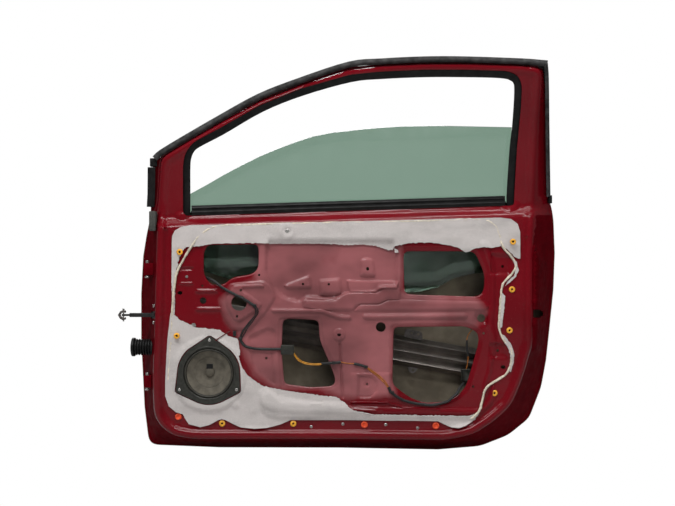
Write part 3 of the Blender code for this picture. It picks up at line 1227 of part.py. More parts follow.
FRONT_CONNECTOR_DEPTHS = (-22 * MM, -8 * MM)
REAR_CONNECTOR_PX = ((461.0, 470.6), (369.0, 380.8))
REAR_CONNECTOR_DEPTHS = (26 * MM, 42 * MM)
CONNECTOR_EDGE = 1 * MM


def make_harness(group):
    """The wiring loom in two runs, with its two connectors."""
    cable = material("cable_black", CABLE_BLACK, 0.6)
    start = [at(*point, depth) for point, depth in zip(loom_start_px, loom_start_depths)]
    tube("loom_front", group, cable, start + on_panel(loom_front_px, LOOM_RADIUS, 2), LOOM_RADIUS)
    finish = [at(*point, depth) for point, depth in zip(loom_finish_px, loom_finish_depths)]
    tube("loom_rear", group, cable, on_panel(loom_rear_px, LOOM_RADIUS, 2) + finish, LOOM_RADIUS)
    block_px("connector_front", group, cable, *FRONT_CONNECTOR_PX, FRONT_CONNECTOR_DEPTHS, CONNECTOR_EDGE)
    block_px("connector_rear", group, cable, *REAR_CONNECTOR_PX, REAR_CONNECTOR_DEPTHS, CONNECTOR_EDGE)


def main():
    """Build the whole door."""
    clear_scene()
    group = collection("car_door_shell")
    cutters = collection("cutters")
    stand_on([make_panels(group)])
    make_glass(group)
    make_seals(group)
    make_front_trims(group, cutters)
    make_inside(group, cutters)
    make_hinges(group, cutters)
    make_check(group, cutters)
    make_gaiter(group, cutters)
    make_speaker(group)
    make_shields(group)
    make_fasteners(group)
    make_harness(group)


main()
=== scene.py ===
"""Looks and stage of a small car's front door with its trim taken off.

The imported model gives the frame: +X to the rear of the car, +Y to the outside, +Z up. Outlines are places
in a square view of the door, in columns and rows (names ending in _PX), put at their real depth by at().
"""

import json
import math

import bmesh
import bpy
import numpy as np
from bpy.props import FloatProperty, FloatVectorProperty, PointerProperty
from mathutils import Matrix, Vector, noise
from mathutils.geometry import convex_hull_2d, delaunay_2d_cdt

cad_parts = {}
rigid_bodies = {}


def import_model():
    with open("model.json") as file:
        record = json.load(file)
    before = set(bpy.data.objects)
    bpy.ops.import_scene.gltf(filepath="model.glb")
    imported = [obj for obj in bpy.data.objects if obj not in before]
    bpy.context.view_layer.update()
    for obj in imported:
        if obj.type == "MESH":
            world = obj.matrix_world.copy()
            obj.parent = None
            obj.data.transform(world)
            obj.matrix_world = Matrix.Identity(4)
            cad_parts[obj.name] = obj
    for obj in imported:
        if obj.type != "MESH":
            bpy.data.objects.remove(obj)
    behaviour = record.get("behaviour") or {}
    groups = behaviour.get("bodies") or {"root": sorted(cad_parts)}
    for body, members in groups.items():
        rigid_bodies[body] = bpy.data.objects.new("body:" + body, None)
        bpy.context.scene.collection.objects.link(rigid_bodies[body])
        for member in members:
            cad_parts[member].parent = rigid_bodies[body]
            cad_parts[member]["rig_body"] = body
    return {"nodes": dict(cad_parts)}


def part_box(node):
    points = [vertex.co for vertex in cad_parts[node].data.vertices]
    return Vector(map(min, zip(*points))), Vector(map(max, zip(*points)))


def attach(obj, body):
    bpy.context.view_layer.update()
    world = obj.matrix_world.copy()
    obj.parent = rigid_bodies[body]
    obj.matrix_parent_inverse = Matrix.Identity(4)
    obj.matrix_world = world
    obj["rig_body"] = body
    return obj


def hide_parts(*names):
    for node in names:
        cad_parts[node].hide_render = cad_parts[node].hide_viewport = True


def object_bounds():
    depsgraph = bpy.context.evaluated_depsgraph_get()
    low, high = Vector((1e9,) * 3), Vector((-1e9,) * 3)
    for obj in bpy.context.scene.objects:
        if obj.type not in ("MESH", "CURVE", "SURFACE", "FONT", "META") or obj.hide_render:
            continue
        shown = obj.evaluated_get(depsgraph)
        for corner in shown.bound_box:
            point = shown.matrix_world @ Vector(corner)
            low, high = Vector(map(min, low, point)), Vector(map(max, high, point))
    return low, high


bl_info = {
    "name": "Car door shell",
    "version": (1, 0, 0),
    "blender": (4, 5, 0),
    "location": "View3D > Sidebar > Car door",
    "description": "Pressed panels, glass, seals, felt, wiring and loudspeaker of a stripped car door",
    "category": "Object",
}

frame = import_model()
CAD_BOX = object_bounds()

MM = 0.001
# The view: distance of the eye, metres per column and per row, and the column and row it looks at
VIEW = 2500 * MM
GRID = (1216 * MM / 412, 1166 * MM / 395)
CENTRE_PX = (337.5, 253.0)
HINGE_DEPTH = 40 * MM
SHEET = 1.2 * MM
# The glass is part of a cylinder whose axis runs along the car
GLASS_RADIUS = 1600 * MM
GLASS_LEAN = math.radians(8)
AXIS_HEIGHT = 128 * MM - GLASS_RADIUS * math.sin(GLASS_LEAN)
AXIS_DEPTH = 55 * MM - GLASS_RADIUS * math.cos(GLASS_LEAN)
SKIN_OUTSET = 14 * MM
FLANGE_FOOT = 1.7
# Places in the view: belt line, belt roll, widest row, sill, top of the frame and of the body, hinge face
BELT_ROW = 212.0
BELT_FRONT_PX = (190, 215.6)
BELT_RISE = 9.6
BELT_RUN = 313
ROLL_ROWS = 12
WIDEST_ROW = 330
SILL_ROW = 448
FRAME_TOP_ROW = 66
BODY_TOP_ROW = 214
HINGE_PX = (145.4, 269)
# Depths of the skin and the panel
WIDEST_DEPTH = 150 * MM
SILL_TUCK = 38 * MM
SIDE_TUCK = 18 * MM
HALF_SPAN = 206
FRAME_INSET = 30 * MM
FRAME_TAPER = 8 * MM
LIP_RISE = 2.2 * MM
LIP_WIDTH = 1.6
OPENING_ROLL = 3 * MM
# Embosses that end before the trim clips at the rear are a little higher than in the solids
HIGHER = 1.3
CLIP_COLUMN = 488
# Distance given to points that lie farther than the reach from a loop
FAR_OUTSIDE = -99.0
NEAR_REACH = 12
SPEAKER_RADIUS = 91 * MM
SPEAKER_DEPTH = -7.4 * MM
# Laying things on the panel: reach of the felt, places looked at around a point, gap that is left
FELT_REACH = 2.6
AROUND = 16
LIFT = 0.4 * MM
# What the lights point at
DOOR_MIDDLE = Vector((0.58, 0, -0.05))
TO_CABIN = Vector((0, -1, 0))

RIM_PX = [
    (173.5, 434), (161.5, 425), (155.4, 414), (153.8, 380), (155.4, 340), (157.4, 267), (158.6, 227),
    (160.2, 190), (162.6, 160.5), (168.5, 155.5), (195, 139.5), (221, 124.6), (261, 102.8), (302, 86.6),
    (350, 71), (382, 67.6), (424, 65.6), (466, 65.6), (522, 67.4), (537, 69.6), (540.5, 74), (540, 84),
    (537, 124), (534.5, 175), (533.4, 206), (532.2, 236.5), (531, 262), (531, 345), (528, 354), (524, 368),
    (518.5, 384), (510, 404), (494, 419), (473, 433), (445, 438.8), (350, 437.6), (193.6, 437.6),
]
SKIN_PX = [
    (160, 157), (167, 152), (194, 136), (220, 121), (260, 99), (301, 83), (350, 67), (382, 64), (424, 62),
    (466, 62), (522, 64), (542, 66), (546, 71), (546.6, 130), (547.4, 196), (550.8, 205), (553.3, 218),
    (554.7, 253), (553.3, 290), (549, 332), (546, 360), (541, 387), (529, 418), (508, 435), (480, 446),
    (438, 449.4), (340, 447.6), (220, 447.3), (154, 444.6), (148.7, 439.6), (144.7, 407), (141.3, 340),
    (141.3, 294), (143.3, 256), (146.7, 235), (150.5, 217), (155.5, 206), (157, 190), (158, 168),
]
WINDOW_PX = [
    (183, 216), (183, 164), (185.5, 152), (193.6, 142), (220, 128), (260, 105), (301, 88.6), (350, 74.6),
    (382, 71.4), (424, 69.6), (466, 69.6), (508, 70.8), (518, 75), (522, 85), (521, 106), (517, 148),
    (514, 199), (514, 205.6),
]
OPENINGS_PX = [
    ([(207.5, 244.7), (203.5, 253), (203.5, 273.5), (207.5, 281.5), (213, 285), (223.6, 285),
      (233.6, 277.5), (250.4, 274.8), (256.4, 271.5), (259, 265.5), (259, 248), (256.4, 244)], 4),
    ([(403, 251), (404, 291), (407, 294.7), (479, 297), (484.5, 290), (484.5, 273), (474.7, 251)], 7),
    ([(282.6, 320), (290, 318), (318.8, 320), (320, 340), (327.5, 357.6), (335, 376), (335.5, 383),
      (331.5, 386.4), (310, 387.5), (284, 384), (281.3, 350)], 5),
    ([(393.3, 326.7), (466, 326), (478, 332), (479, 342), (472, 367), (466, 387), (456.5, 397), (444, 402),
      (424, 403), (410, 398), (399, 390), (392, 384)], 6),
]
LATCH_PX = [
    (533, 309.5), (540.4, 309.5), (540.4, 311), (542.8, 311), (542.8, 316), (540.4, 316), (540.4, 317.6),
    (533, 317.6),
]
STRAP_SLOT_PX = [
    (151.2, 311.4), (155.4, 311.4), (155.4, 318.6), (151.2, 318.6),
]
# Holes: column, row, half width, half height
HOLES_PX = [
    (239, 303, 7.8, 7.8), (203.2, 300.5, 3.3, 3.3), (180, 292.8, 2.5, 1.8), (380.8, 327, 4.9, 4.9),
    (481, 318, 4, 4), (503, 367, 2.4, 1.8), (202.4, 285.7, 1.1, 1.1), (259.2, 275, 1.1, 1.1),
    (240.8, 290.2, 1.2, 1.2), (237, 316.3, 1.1, 1.6), (303, 284, 1.2, 1.2), (328.8, 284.2, 1.2, 1.2),
    (367.6, 268.8, 1.5, 1.8), (339, 334.8, 2, 1.4), (367, 384, 1.1, 1.1), (266.4, 358, 1.2, 1.2),
    (502.4, 266.4, 1.4, 1.4), (497.5, 350.5, 1.4, 1.4), (483.5, 333.2, 1.2, 1.2), (473, 386.5, 1.2, 1.2),
    (269.2, 406.5, 0.8, 0.8),
]
# Embosses: outline, rise towards the cabin in millimetres, width of the wall, corner
EMBOSSES_PX = [
    ([(229, 283), (264, 279.5), (272, 286), (277, 297), (266, 314), (250, 331), (231, 331), (220, 312),
      (218, 295)], 4, 2.2, 4),
    ([(229, 290), (234, 284.4), (262, 283), (266, 288), (242, 288.5), (263, 304), (260, 309), (240, 322.5),
      (234, 321), (226, 308), (225.4, 298)], 4, 1.8, 3),
    ([(264, 236), (263.5, 274), (270, 288), (281, 299), (300.7, 305), (307, 298), (336, 301), (346, 294),
      (377, 293.5), (381, 288), (399, 288), (399, 236)], -7, 3.4, 6),
    ([(281, 285), (311, 273.4), (313, 289), (286, 290)], 6, 3, 2.5),
    ([(318, 279), (341, 277), (343, 295), (319, 297)], 6, 2.6, 3),
    ([(345, 279), (358, 280), (378, 280), (399.5, 280), (399.5, 290), (380, 290), (376, 293.5),
      (348, 293.5)], 7, 2.6, 3),
    ([(360, 259), (366, 257), (374, 259), (376, 277), (359, 277)], 5, 2, 3),
    ([(364, 313.4), (466, 312.4), (469, 315.8), (466, 319.6), (364, 320), (361, 316.6)], 5, 2.2, 3),
    ([(270, 307.8), (304, 308), (322, 308.4), (340, 314), (352, 315.4), (352, 320.4), (338, 320),
      (320, 313.4), (270, 313)], 4.5, 2, 3),
    ([(302, 299), (336, 300), (346, 292), (378, 292), (384, 287), (401, 287), (401, 301), (388, 300.6),
      (379, 305), (359, 305), (353, 312), (318, 311), (302, 308)], 3, 2, 3),
    ([(401, 299), (486, 301), (492, 306), (486, 311), (352, 312), (359, 304), (379, 304), (388, 299.4)],
      3.4, 2, 3),
    ([(195, 288.4), (218, 288.4), (218, 293.2), (195, 293.2)], 4, 1.8, 2),
    ([(195, 306.4), (222, 306.4), (222, 311.4), (195, 311.4)], 4, 1.8, 2),
    ([(178.6, 281.6), (193.6, 281.6), (193.6, 285), (178.6, 285)], 2.2, 1.2, 1.2),
    ([(178, 266.4), (194, 266.4), (194, 271.4), (178, 271.4)], -2.4, 1.6, 1.2),
    ([(337.6, 343), (341.6, 341), (345.6, 399), (340.4, 399)], -4, 1.7, 1.2),
    ([(356, 373.6), (372, 373.6), (379.5, 381), (379.5, 391), (372, 399), (356, 399)], -6, 2.6, 4),
    ([(350, 372), (392, 372), (392, 404), (350, 404)], 2, 2, 2),
    ([(489, 252), (513, 254), (511.5, 276), (489, 276)], -6, 2.6, 3),
    ([(488, 342), (507, 342), (508, 359), (488, 359)], -6, 2.6, 3),
    ([(262, 397), (268, 392), (275, 397), (279, 402.6), (381, 406), (478, 408), (486, 400), (492, 384),
      (496, 384), (494, 404), (478, 417), (381, 416.6), (275, 416.6), (264, 413)], 5, 2.6, 4),
    ([(350, 401.4), (388, 401.4), (404, 406), (440, 408), (440, 410.4), (404, 409), (386, 404), (350, 404)],
      2.4, 1, 1),
    ([(481, 242), (488, 244), (496, 264), (496, 300), (494, 322), (498, 340), (492, 372), (484, 396),
      (480, 392), (487, 368), (489, 342), (486, 322), (489, 300), (489, 268)], 4, 2, 4),
    ([(400, 246), (476, 247), (488, 272), (488, 291), (481, 300.4), (404, 298.4), (399, 293)], -2.6, 2, 5),
    ([(389, 323), (470, 322), (482, 330), (483, 343), (476, 369), (470, 389), (459, 400), (446, 406),
      (422, 406.6), (408, 402), (394, 392), (388, 386)], -2.6, 2, 6),
    ([(277, 317), (322, 315), (325, 341), (340, 374), (340, 385), (333, 391), (309, 391.6), (280, 389),
      (276.6, 350)], -2.4, 2, 5),
    ([(246, 336), (268, 326), (278, 330), (275, 350), (277, 388), (262, 380), (250, 366)], -4, 3, 4),
    ([(173.6, 213.6), (181, 210.6), (190, 213), (190, 218.6), (182, 222.4), (175, 219)], 5, 3, 3),
    ([(500, 204), (511, 199.6), (521, 203), (519, 210), (510, 214), (502, 210)], 5, 3, 3),
    ([(531, 238), (540, 246), (549, 262), (552, 275), (552, 303), (550, 335), (545, 350), (536, 357),
      (529, 353), (530, 250)], 47, 8, 3),
    ([(531, 298), (545, 298), (545, 306), (531, 306)], 4, 3, 2),
    ([(531, 320), (545, 320), (545, 329), (531, 329)], 4, 3, 2),
]
ROUND_EMBOSSES_PX = [
    ((208.6, 374.5), 36, 4, 2.6),
    ((481, 318), 9.2, -7, 4.2),
    ((339, 334.8), 6.8, 2, 1.2),
    ((367, 384), 4, -1.5, 1.5),
    ((236, 405), 2.4, 2.5, 2),
]
FELT_UPPER_CLEAN_PX = [
    (172, 243), (172.4, 236), (175, 230.6), (181, 227), (190, 225.4), (350, 221.6), (500, 217.6),
    (511, 219), (517.6, 224), (520, 232), (520, 259),
]
FELT_UPPER_TORN_PX = [
    (514, 256.6), (508, 250), (501, 245.6), (491.5, 248), (484, 247), (473, 249), (466, 252.6), (459, 248),
    (449, 245), (431, 242.5), (410, 243), (395, 246), (393, 250), (388, 250), (376.5, 246), (361, 244),
    (350, 245), (314, 243.5), (274, 243.5), (254, 243), (215, 243.5), (200, 246), (187, 247), (182, 251),
    (178, 262), (175.4, 280), (174.6, 314), (172.4, 314), (171.6, 280),
]
FELT_LOWER_TORN_PX = [
    (170.6, 313), (173.5, 314), (180, 320), (191, 325), (198, 328), (207, 328.4), (219, 329.7), (226, 334),
    (231, 337), (238, 339), (240, 351), (239, 357.6), (242, 367), (247, 375), (255, 381), (263, 386),
    (274, 388.4), (298, 392.4), (321, 395.4), (337, 397), (343.6, 402), (350, 408.5), (358, 411.5),
    (375, 414.4), (410, 415), (466, 416), (479, 413.4),
]
FELT_LOWER_CLEAN_PX = [
    (473, 421), (466, 426), (459, 428.4), (452, 427.7), (444, 424), (438, 421), (350, 419.6), (291, 419.5),
    (281, 424), (267, 428), (255, 429), (241, 427.4), (234, 424), (226, 420), (222, 419), (218, 420),
    (210, 424.6), (200.5, 427), (189, 424), (185, 418), (183, 414), (176, 412), (169, 406), (165.4, 396),
    (165.4, 380), (167.5, 340),
]
FELT_RAGS_PX = [
    [(512, 258), (516.6, 262), (518.6, 270), (516, 277), (509, 283), (505, 286), (508, 281), (514, 276),
      (516, 268)],
    [(501.4, 292), (505, 296), (504.4, 306), (503, 318), (502, 327), (499.6, 328), (500.4, 312)],
    [(499.6, 334), (505, 336), (511, 344), (514, 352), (513.6, 362), (510.6, 372), (508, 370), (511, 360),
      (509, 350)],
    [(394.4, 248.6), (398, 249.6), (398.4, 252.6), (395.4, 252.6)],
]
BEAD_FRONT_PX = [
    (350, 222.6), (300, 223.4), (240, 225), (222, 225.6), (209.6, 228.4), (199, 236), (191, 247),
    (182, 262), (176.4, 274), (174, 289), (172.6, 304), (171.4, 330), (170, 352), (168, 380),
]
BEAD_REAR_PX = [
    (350, 222.6), (420, 220.8), (470, 219.4), (486, 220.4), (495, 225.6), (500, 236), (503, 247),
    (512, 257.5), (516, 266), (511, 275), (503, 284), (500.7, 298), (500, 312), (499, 328), (504, 340.5),
    (511, 350), (510.6, 364), (505, 375), (492, 383), (485, 390), (482, 402), (479, 411), (471, 419),
]
OVERSPRAY_PX = [
    (259, 236), (402, 236), (404, 262), (402, 289), (440, 292), (478, 300), (486, 312), (476, 325),
    (394, 328), (392, 380), (396, 396), (352, 400), (318, 390), (276, 388), (254, 374), (242, 352),
    (236, 334), (223, 320), (219, 300), (231, 286), (256, 281),
]
# A shallow trough under the lower felt
TROUGH_PX = [
    (260.2, 392.3), (265, 389), (270.5, 392.3), (276, 397.2), (303, 403.1), (341, 406.4), (379, 409.1),
    (379, 412.9), (303, 411.3), (270.5, 409.1), (262.4, 403.1),
]
# The loudspeaker's middle, and the screw in each of its ears
SPEAKER_PX = (208.8, 373.2)
EARS_PX = [(209.6, 339.9), (179.4, 389.7), (236.6, 389.7)]
# Four screws in the panel and, last, the one that holds the felt
SCREWS_PX = [(311.2, 426.7), (342.9, 424.0), (385.7, 424.6), (417.6, 428.0), (287.3, 231.0)]
BOLTS_PX = [(186.9, 276.7), (193.6, 325.4)]
# Beam tabs: outline, then the column, row and radius of each hole
TABS_PX = [
    ([(403.6, 336.6), (405.6, 329.6), (408, 328.8), (420.6, 331.4), (422.4, 333.4), (422.4, 340.6)],
     [(411.7, 333, 1.2), (418.3, 334.2, 1.2)]),
    ([(407.4, 366.6), (409.4, 371.6), (412, 373.4), (415, 372.4), (417.6, 368)], [(413, 369.8, 1.3)]),
]


class DoorLook(bpy.types.PropertyGroup):
    """Sizes and colours that a user may change before running the operators."""
    grid_step: FloatProperty(name="Panel detail", description="Step of the panel mesh in picture units",
                             default=2.7)
    felt_thickness: FloatProperty(name="Felt thickness", description="Thickness of the water shield",
                                  default=2.6 * MM, unit="LENGTH")
    bead_radius: FloatProperty(name="Bead radius", description="Radius of the butyl bead",
                               default=3.3 * MM, unit="LENGTH")
    wire_radius: FloatProperty(name="Wire radius", description="Radius of a single wire",
                               default=1.5 * MM, unit="LENGTH")
    red: FloatVectorProperty(name="Paint", description="Body colour", subtype="COLOR",
                             default=(0.125, 0.0016, 0.0055))
    dust: FloatVectorProperty(name="Overspray", description="Dull pink overspray", subtype="COLOR",
                              default=(0.23, 0.075, 0.08))
    primer: FloatVectorProperty(name="Primer", description="Bare primer inside the skin", subtype="COLOR",
                                default=(0.15, 0.125, 0.09))
    steel: FloatVectorProperty(name="Steel", description="Grey steel of the beam", subtype="COLOR",
                               default=(0.24, 0.215, 0.195))
    felt: FloatVectorProperty(name="Felt", description="Water shield", subtype="COLOR",
                              default=(0.46, 0.425, 0.41))
    rubber: FloatVectorProperty(name="Rubber", description="Seals", subtype="COLOR",
                                default=(0.005, 0.005, 0.005))
    butyl: FloatVectorProperty(name="Butyl", description="Glue bead", subtype="COLOR",
                               default=(0.56, 0.50, 0.40))
    clip: FloatVectorProperty(name="Clips", description="Trim clips", subtype="COLOR",
                              default=(0.70, 0.34, 0.035))
    plug: FloatVectorProperty(name="Plugs", description="Rubber plugs", subtype="COLOR",
                              default=(0.60, 0.06, 0.018))
    cone: FloatVectorProperty(name="Cone", description="Loudspeaker cone", subtype="COLOR",
                              default=(0.085, 0.075, 0.058))
    glass: FloatVectorProperty(name="Glass", description="Tint of the glass", subtype="COLOR",
                               default=(0.20, 0.30, 0.235))


# Geometry of the door as functions of a picture place

def signed(points, loop):
    """Distance from each picture point to a closed loop, positive inside it."""
    points = np.asarray(points, dtype=float)
    start = np.asarray(loop, dtype=float)
    result = np.full(len(points), FAR_OUTSIDE)
    near = np.all((points > start.min(0) - NEAR_REACH) & (points < start.max(0) + NEAR_REACH), axis=1)
    place = points[near][:, None, :]
    end = np.roll(start, -1, axis=0)
    edge = end - start
    along = np.clip(((place - start) * edge).sum(2) / np.maximum((edge ** 2).sum(1), 1e-9), 0, 1)
    gap = np.linalg.norm(place - (start + along[..., None] * edge), axis=2).min(1)
    spans = (start[:, 1] > place[..., 1]) != (end[:, 1] > place[..., 1])
    rise = np.where(edge[:, 1] == 0, 1, edge[:, 1])
    left = place[..., 0] < edge[:, 0] * (place[..., 1] - start[:, 1]) / rise + start[:, 0]
    result[near] = np.where((spans & left).sum(1) % 2 == 1, gap, -gap)
    return result


def smooth(share):
    """A share from 0 to 1 that starts and ends gently."""
    share = np.clip(share, 0, 1)
    return share * share * (3 - 2 * share)


def inset(loop, width):
    """A closed loop moved inwards by a width, corner by corner."""
    points = [Vector(point) for point in loop]
    area = sum(a.x * b.y - b.x * a.y for a, b in zip(points, points[1:] + points[:1]))
    side = 1 if area > 0 else -1
    moved = []
    for index, point in enumerate(points):
        before = (point - points[index - 1]).normalized()
        after = (points[(index + 1) % len(points)] - point).normalized()
        normal = Vector((-before.y - after.y, before.x + after.x)) * side
        length = max(normal.length, 0.8)
        moved.append(tuple(point + normal / length * width * 2 / length))
    return moved


def rounded(loop, radius, steps=4):
    """A closed loop with each corner replaced by a small curve."""
    points = [Vector(point) for point in loop]
    result = []
    for index, point in enumerate(points):
        before = points[index - 1] - point
        after = points[(index + 1) % len(points)] - point
        if before.angle(after) > math.radians(172):
            result.append(tuple(point))
            continue
        start = point + before.normalized() * min(radius, before.length * 0.48)
        end = point + after.normalized() * min(radius, after.length * 0.48)
        for step in range(steps + 1):
            share = step / steps
            rest = 1 - share
            result.append(tuple(start * rest ** 2 + point * 2 * share * rest + end * share ** 2))
    return result


def divided(loop, longest):
    """A closed loop with its long sides divided evenly."""
    result = []
    for a, b in zip(loop, [*loop[1:], loop[0]]):
        parts = max(1, math.ceil(math.dist(a, b) / longest))
        result += [tuple(Vector(a).lerp(Vector(b), part / parts)) for part in range(parts)]
    return result


def thinned(loop, shortest):
    """A closed loop without points that crowd each other."""
    result = [loop[0]]
    for point in loop[1:]:
        if math.dist(point, result[-1]) > shortest:
            result.append(point)
    if math.dist(result[0], result[-1]) < shortest:
        result.pop()
    return result


def evened(loop, shortest, longest):
    """A closed loop whose points neither crowd each other nor lie far apart."""
    return divided(thinned(loop, shortest), longest)


def in_mm(pairs, scale=1):
    """Pairs of millimetres as pairs of metres."""
    return [(first * scale * MM, second * scale * MM) for first, second in pairs]


def oval(centre, across, down, sides):
    """An oval loop in the picture."""
    angles = [math.tau * step / sides for step in range(sides)]
    return [(centre[0] + across * math.cos(angle), centre[1] + down * math.sin(angle)) for angle in angles]


def flowing(points, steps):
    """Points along a smooth curve through a few places."""
    places = [Vector(point) for point in points]
    places = [places[0] * 2 - places[1], *places, places[-1] * 2 - places[-2]]
    result = []
    for a, b, c, d in zip(places, places[1:], places[2:], places[3:]):
        for step in range(steps):
            t = step / steps
            result.append(0.5 * ((2 * b) + (c - a) * t + (2 * a - 5 * b + 4 * c - d) * t * t
                                 + (3 * b - a - 3 * c + d) * t ** 3))
    return result + [places[-2]]


def raw_at(column, row, depth):
    """A picture point at a depth, before the origin is moved to the hinge."""
    spread = 1 + depth / VIEW
    across = (column - CENTRE_PX[0]) * GRID[0] * spread
    up = (CENTRE_PX[1] - row) * GRID[1] * spread
    return Vector((across, depth, up))


ORIGIN = raw_at(*HINGE_PX, HINGE_DEPTH)


def at(column, row, depth):
    """A picture point at a depth, in the door's frame."""
    return raw_at(column, row, depth) - ORIGIN


def places_at(points, depths):
    """Many picture points at their depths, in the door's frame."""
    spread = 1 + depths / VIEW
    across = (points[:, 0] - CENTRE_PX[0]) * GRID[0] * spread
    up = (CENTRE_PX[1] - points[:, 1]) * GRID[1] * spread
    return np.column_stack([across - ORIGIN.x, depths - ORIGIN.y, up - ORIGIN.z])


def picture_of(spots):
    """Picture points of many places in the door's frame."""
    spread = 1 + (spots[:, 1] + ORIGIN.y) / VIEW
    return np.column_stack([CENTRE_PX[0] + (spots[:, 0] + ORIGIN.x) / GRID[0] / spread,
                            CENTRE_PX[1] - (spots[:, 2] + ORIGIN.z) / GRID[1] / spread])


def flat_at(depth):
    """A depth function that gives every picture point the same depth."""
    return lambda points: np.full(len(points), depth)


def glass_depth(rows):
    """Depth of the middle of the glass on the line of sight through each row."""
    rows = np.asarray(rows, dtype=float)
    depth = np.full_like(rows, 55 * MM)
    for _ in range(4):
        height = (CENTRE_PX[1] - rows) * GRID[1] * (1 + depth / VIEW)
        depth = AXIS_DEPTH + np.sqrt(GLASS_RADIUS ** 2 - (height - AXIS_HEIGHT) ** 2)
    return depth


def glass_side(points):
    """Depth of the glass at picture points."""
    return glass_depth(points[:, 1])


def belt_row(columns):
    """Row of the inner panel's top edge, which rises a little to the rear."""
    return BELT_FRONT_PX[1] - BELT_RISE * (np.asarray(columns) - BELT_FRONT_PX[0]) / BELT_RUN


def skin_depth(points):
    """Depth of the outer skin."""
    rows = points[:, 1]
    upper = np.clip((WIDEST_ROW - rows) / (WIDEST_ROW - BELT_ROW), 0, 1)
    lower = np.clip((rows - WIDEST_ROW) / (SILL_ROW - WIDEST_ROW), 0, 1)
    belt_edge = float(glass_depth([BELT_ROW])[0]) + SKIN_OUTSET
    body = WIDEST_DEPTH - (WIDEST_DEPTH - belt_edge) * upper ** 2 - SILL_TUCK * lower ** 2
    across = (points[:, 0] - CENTRE_PX[0] - 10) / HALF_SPAN
    body = body - SIDE_TUCK * across ** 2 * (1 - upper ** 2)
    return np.where(rows < BELT_ROW, glass_depth(rows) + SKIN_OUTSET, body)


def field_depth(points):
    """Depth of the inner panel inside its rim, with the belt roll and the window frame."""
    share = np.clip((points[:, 1] - belt_row(points[:, 0])) / ROLL_ROWS, 0, 1)
    rows = np.minimum(points[:, 1], BELT_ROW + ROLL_ROWS)
    frame_share = np.clip((BELT_ROW - rows) / (BELT_ROW - FRAME_TOP_ROW), 0, 1)
    return (glass_depth(rows) - FRAME_INSET + FRAME_TAPER * frame_share) * (1 - smooth(share))


EMBOSSES = [(rounded(outline, corner), rise, wall) for outline, rise, wall, corner in EMBOSSES_PX]
EMBOSSES += [(oval(centre, radius, radius, 28), rise, wall)
             for centre, radius, rise, wall in ROUND_EMBOSSES_PX]
EMBOSSES = [(outline, rise * (HIGHER if max(outline)[0] < CLIP_COLUMN else 1), wall)
            for outline, rise, wall in EMBOSSES]
EMBOSSES.append((rounded(TROUGH_PX, 2), 4.5, 2.4))
OPENINGS = [rounded(outline, corner, 5) for outline, corner in OPENINGS_PX]
RIM = rounded(RIM_PX, 8, 5)
SKIN = rounded(SKIN_PX, 6)


def panel_depth(points):
    """Depth of the inner panel, from its flange at the skin to its field and embosses."""
    points = np.asarray(points, dtype=float)
    to_rim = signed(points, RIM)
    to_foot = signed(points, inset(SKIN, FLANGE_FOOT))
    rise = 3 * MM + 9 * MM * smooth((points[:, 1] - 200) / 30)
    flat = 1 - smooth((to_rim - 3.8) / 4.6)
    depth = field_depth(points) - rise * np.where(to_rim >= 0, flat, 1)
    depth = depth + LIP_RISE * np.clip(1 - to_rim / LIP_WIDTH, 0, 1) ** 2 * (to_rim >= 0)
    for outline, height, wall in EMBOSSES:
        soft = wall * 0.75
        depth = depth - height * MM * smooth((signed(points, outline) + soft - wall) / soft)
    for opening in OPENINGS:
        depth = depth + OPENING_ROLL * np.clip(1 + signed(points, opening) / 1.5, 0, 1) ** 2
    flange = skin_depth(points) - SHEET - 0.6 * MM
    wall = np.where(to_foot > 0, -to_rim / np.maximum(to_foot - to_rim, 1e-6), 1)
    edge = depth + LIP_RISE * (to_rim < 0)
    return np.where(to_rim >= 0, depth, edge + (flange - edge) * np.clip(wall, 0, 1))


# Making and finishing pieces

def add_piece(name, form, paints, replaced=(), sharp=40, body="door"):
    """Turn a bmesh into a finished piece that rides on a body."""
    mesh = bpy.data.meshes.new(name)
    form.to_mesh(mesh)
    form.free()
    mesh.shade_smooth()
    mesh.set_sharp_from_angle(angle=math.radians(sharp))
    for paint in paints if isinstance(paints, (list, tuple)) else [paints]:
        mesh.materials.append(paint)
    item = bpy.data.objects.new(name, mesh)
    bpy.context.scene.collection.objects.link(item)
    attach(item, body)
    if replaced:
        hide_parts(*replaced)
    return item


def outlined(outline, openings, loops, step):
    """Picture points and triangles that fill an outline around its openings and along its fold loops."""
    points = []
    edges = []
    for loop in [outline, *openings, *loops]:
        first = len(points)
        points += [Vector(point) for point in loop]
        edges += [(first + index, first + (index + 1) % len(loop)) for index in range(len(loop))]
    low = np.min(outline, axis=0)
    high = np.max(outline, axis=0)
    clear = step * 0.3
    columns = np.arange(low[0] + step / 2, high[0], step)
    rows = np.arange(low[1] + step / 2, high[1], step)
    columns, rows = np.meshgrid(columns, rows)
    columns[::2] += step / 2
    spare = np.column_stack([columns.ravel(), rows.ravel()])
    keep = signed(spare, outline) > clear
    for loop in openings:
        keep &= signed(spare, loop) < -clear
    spare = spare[keep]
    keep = np.ones(len(spare), dtype=bool)
    for loop in loops:
        keep &= np.abs(signed(spare, loop)) > clear
    points += [Vector(point) for point in spare[keep]]
    found = delaunay_2d_cdt(points, edges, [], 0, 1e-4)
    places = np.array([tuple(point) for point in found[0]])
    triangles = np.array([tuple(face) for face in found[2]])
    centres = places[triangles].mean(axis=1)
    keep = signed(centres, outline) > 0
    for opening in openings:
        keep &= signed(centres, opening) < 0
    return places, triangles[keep]


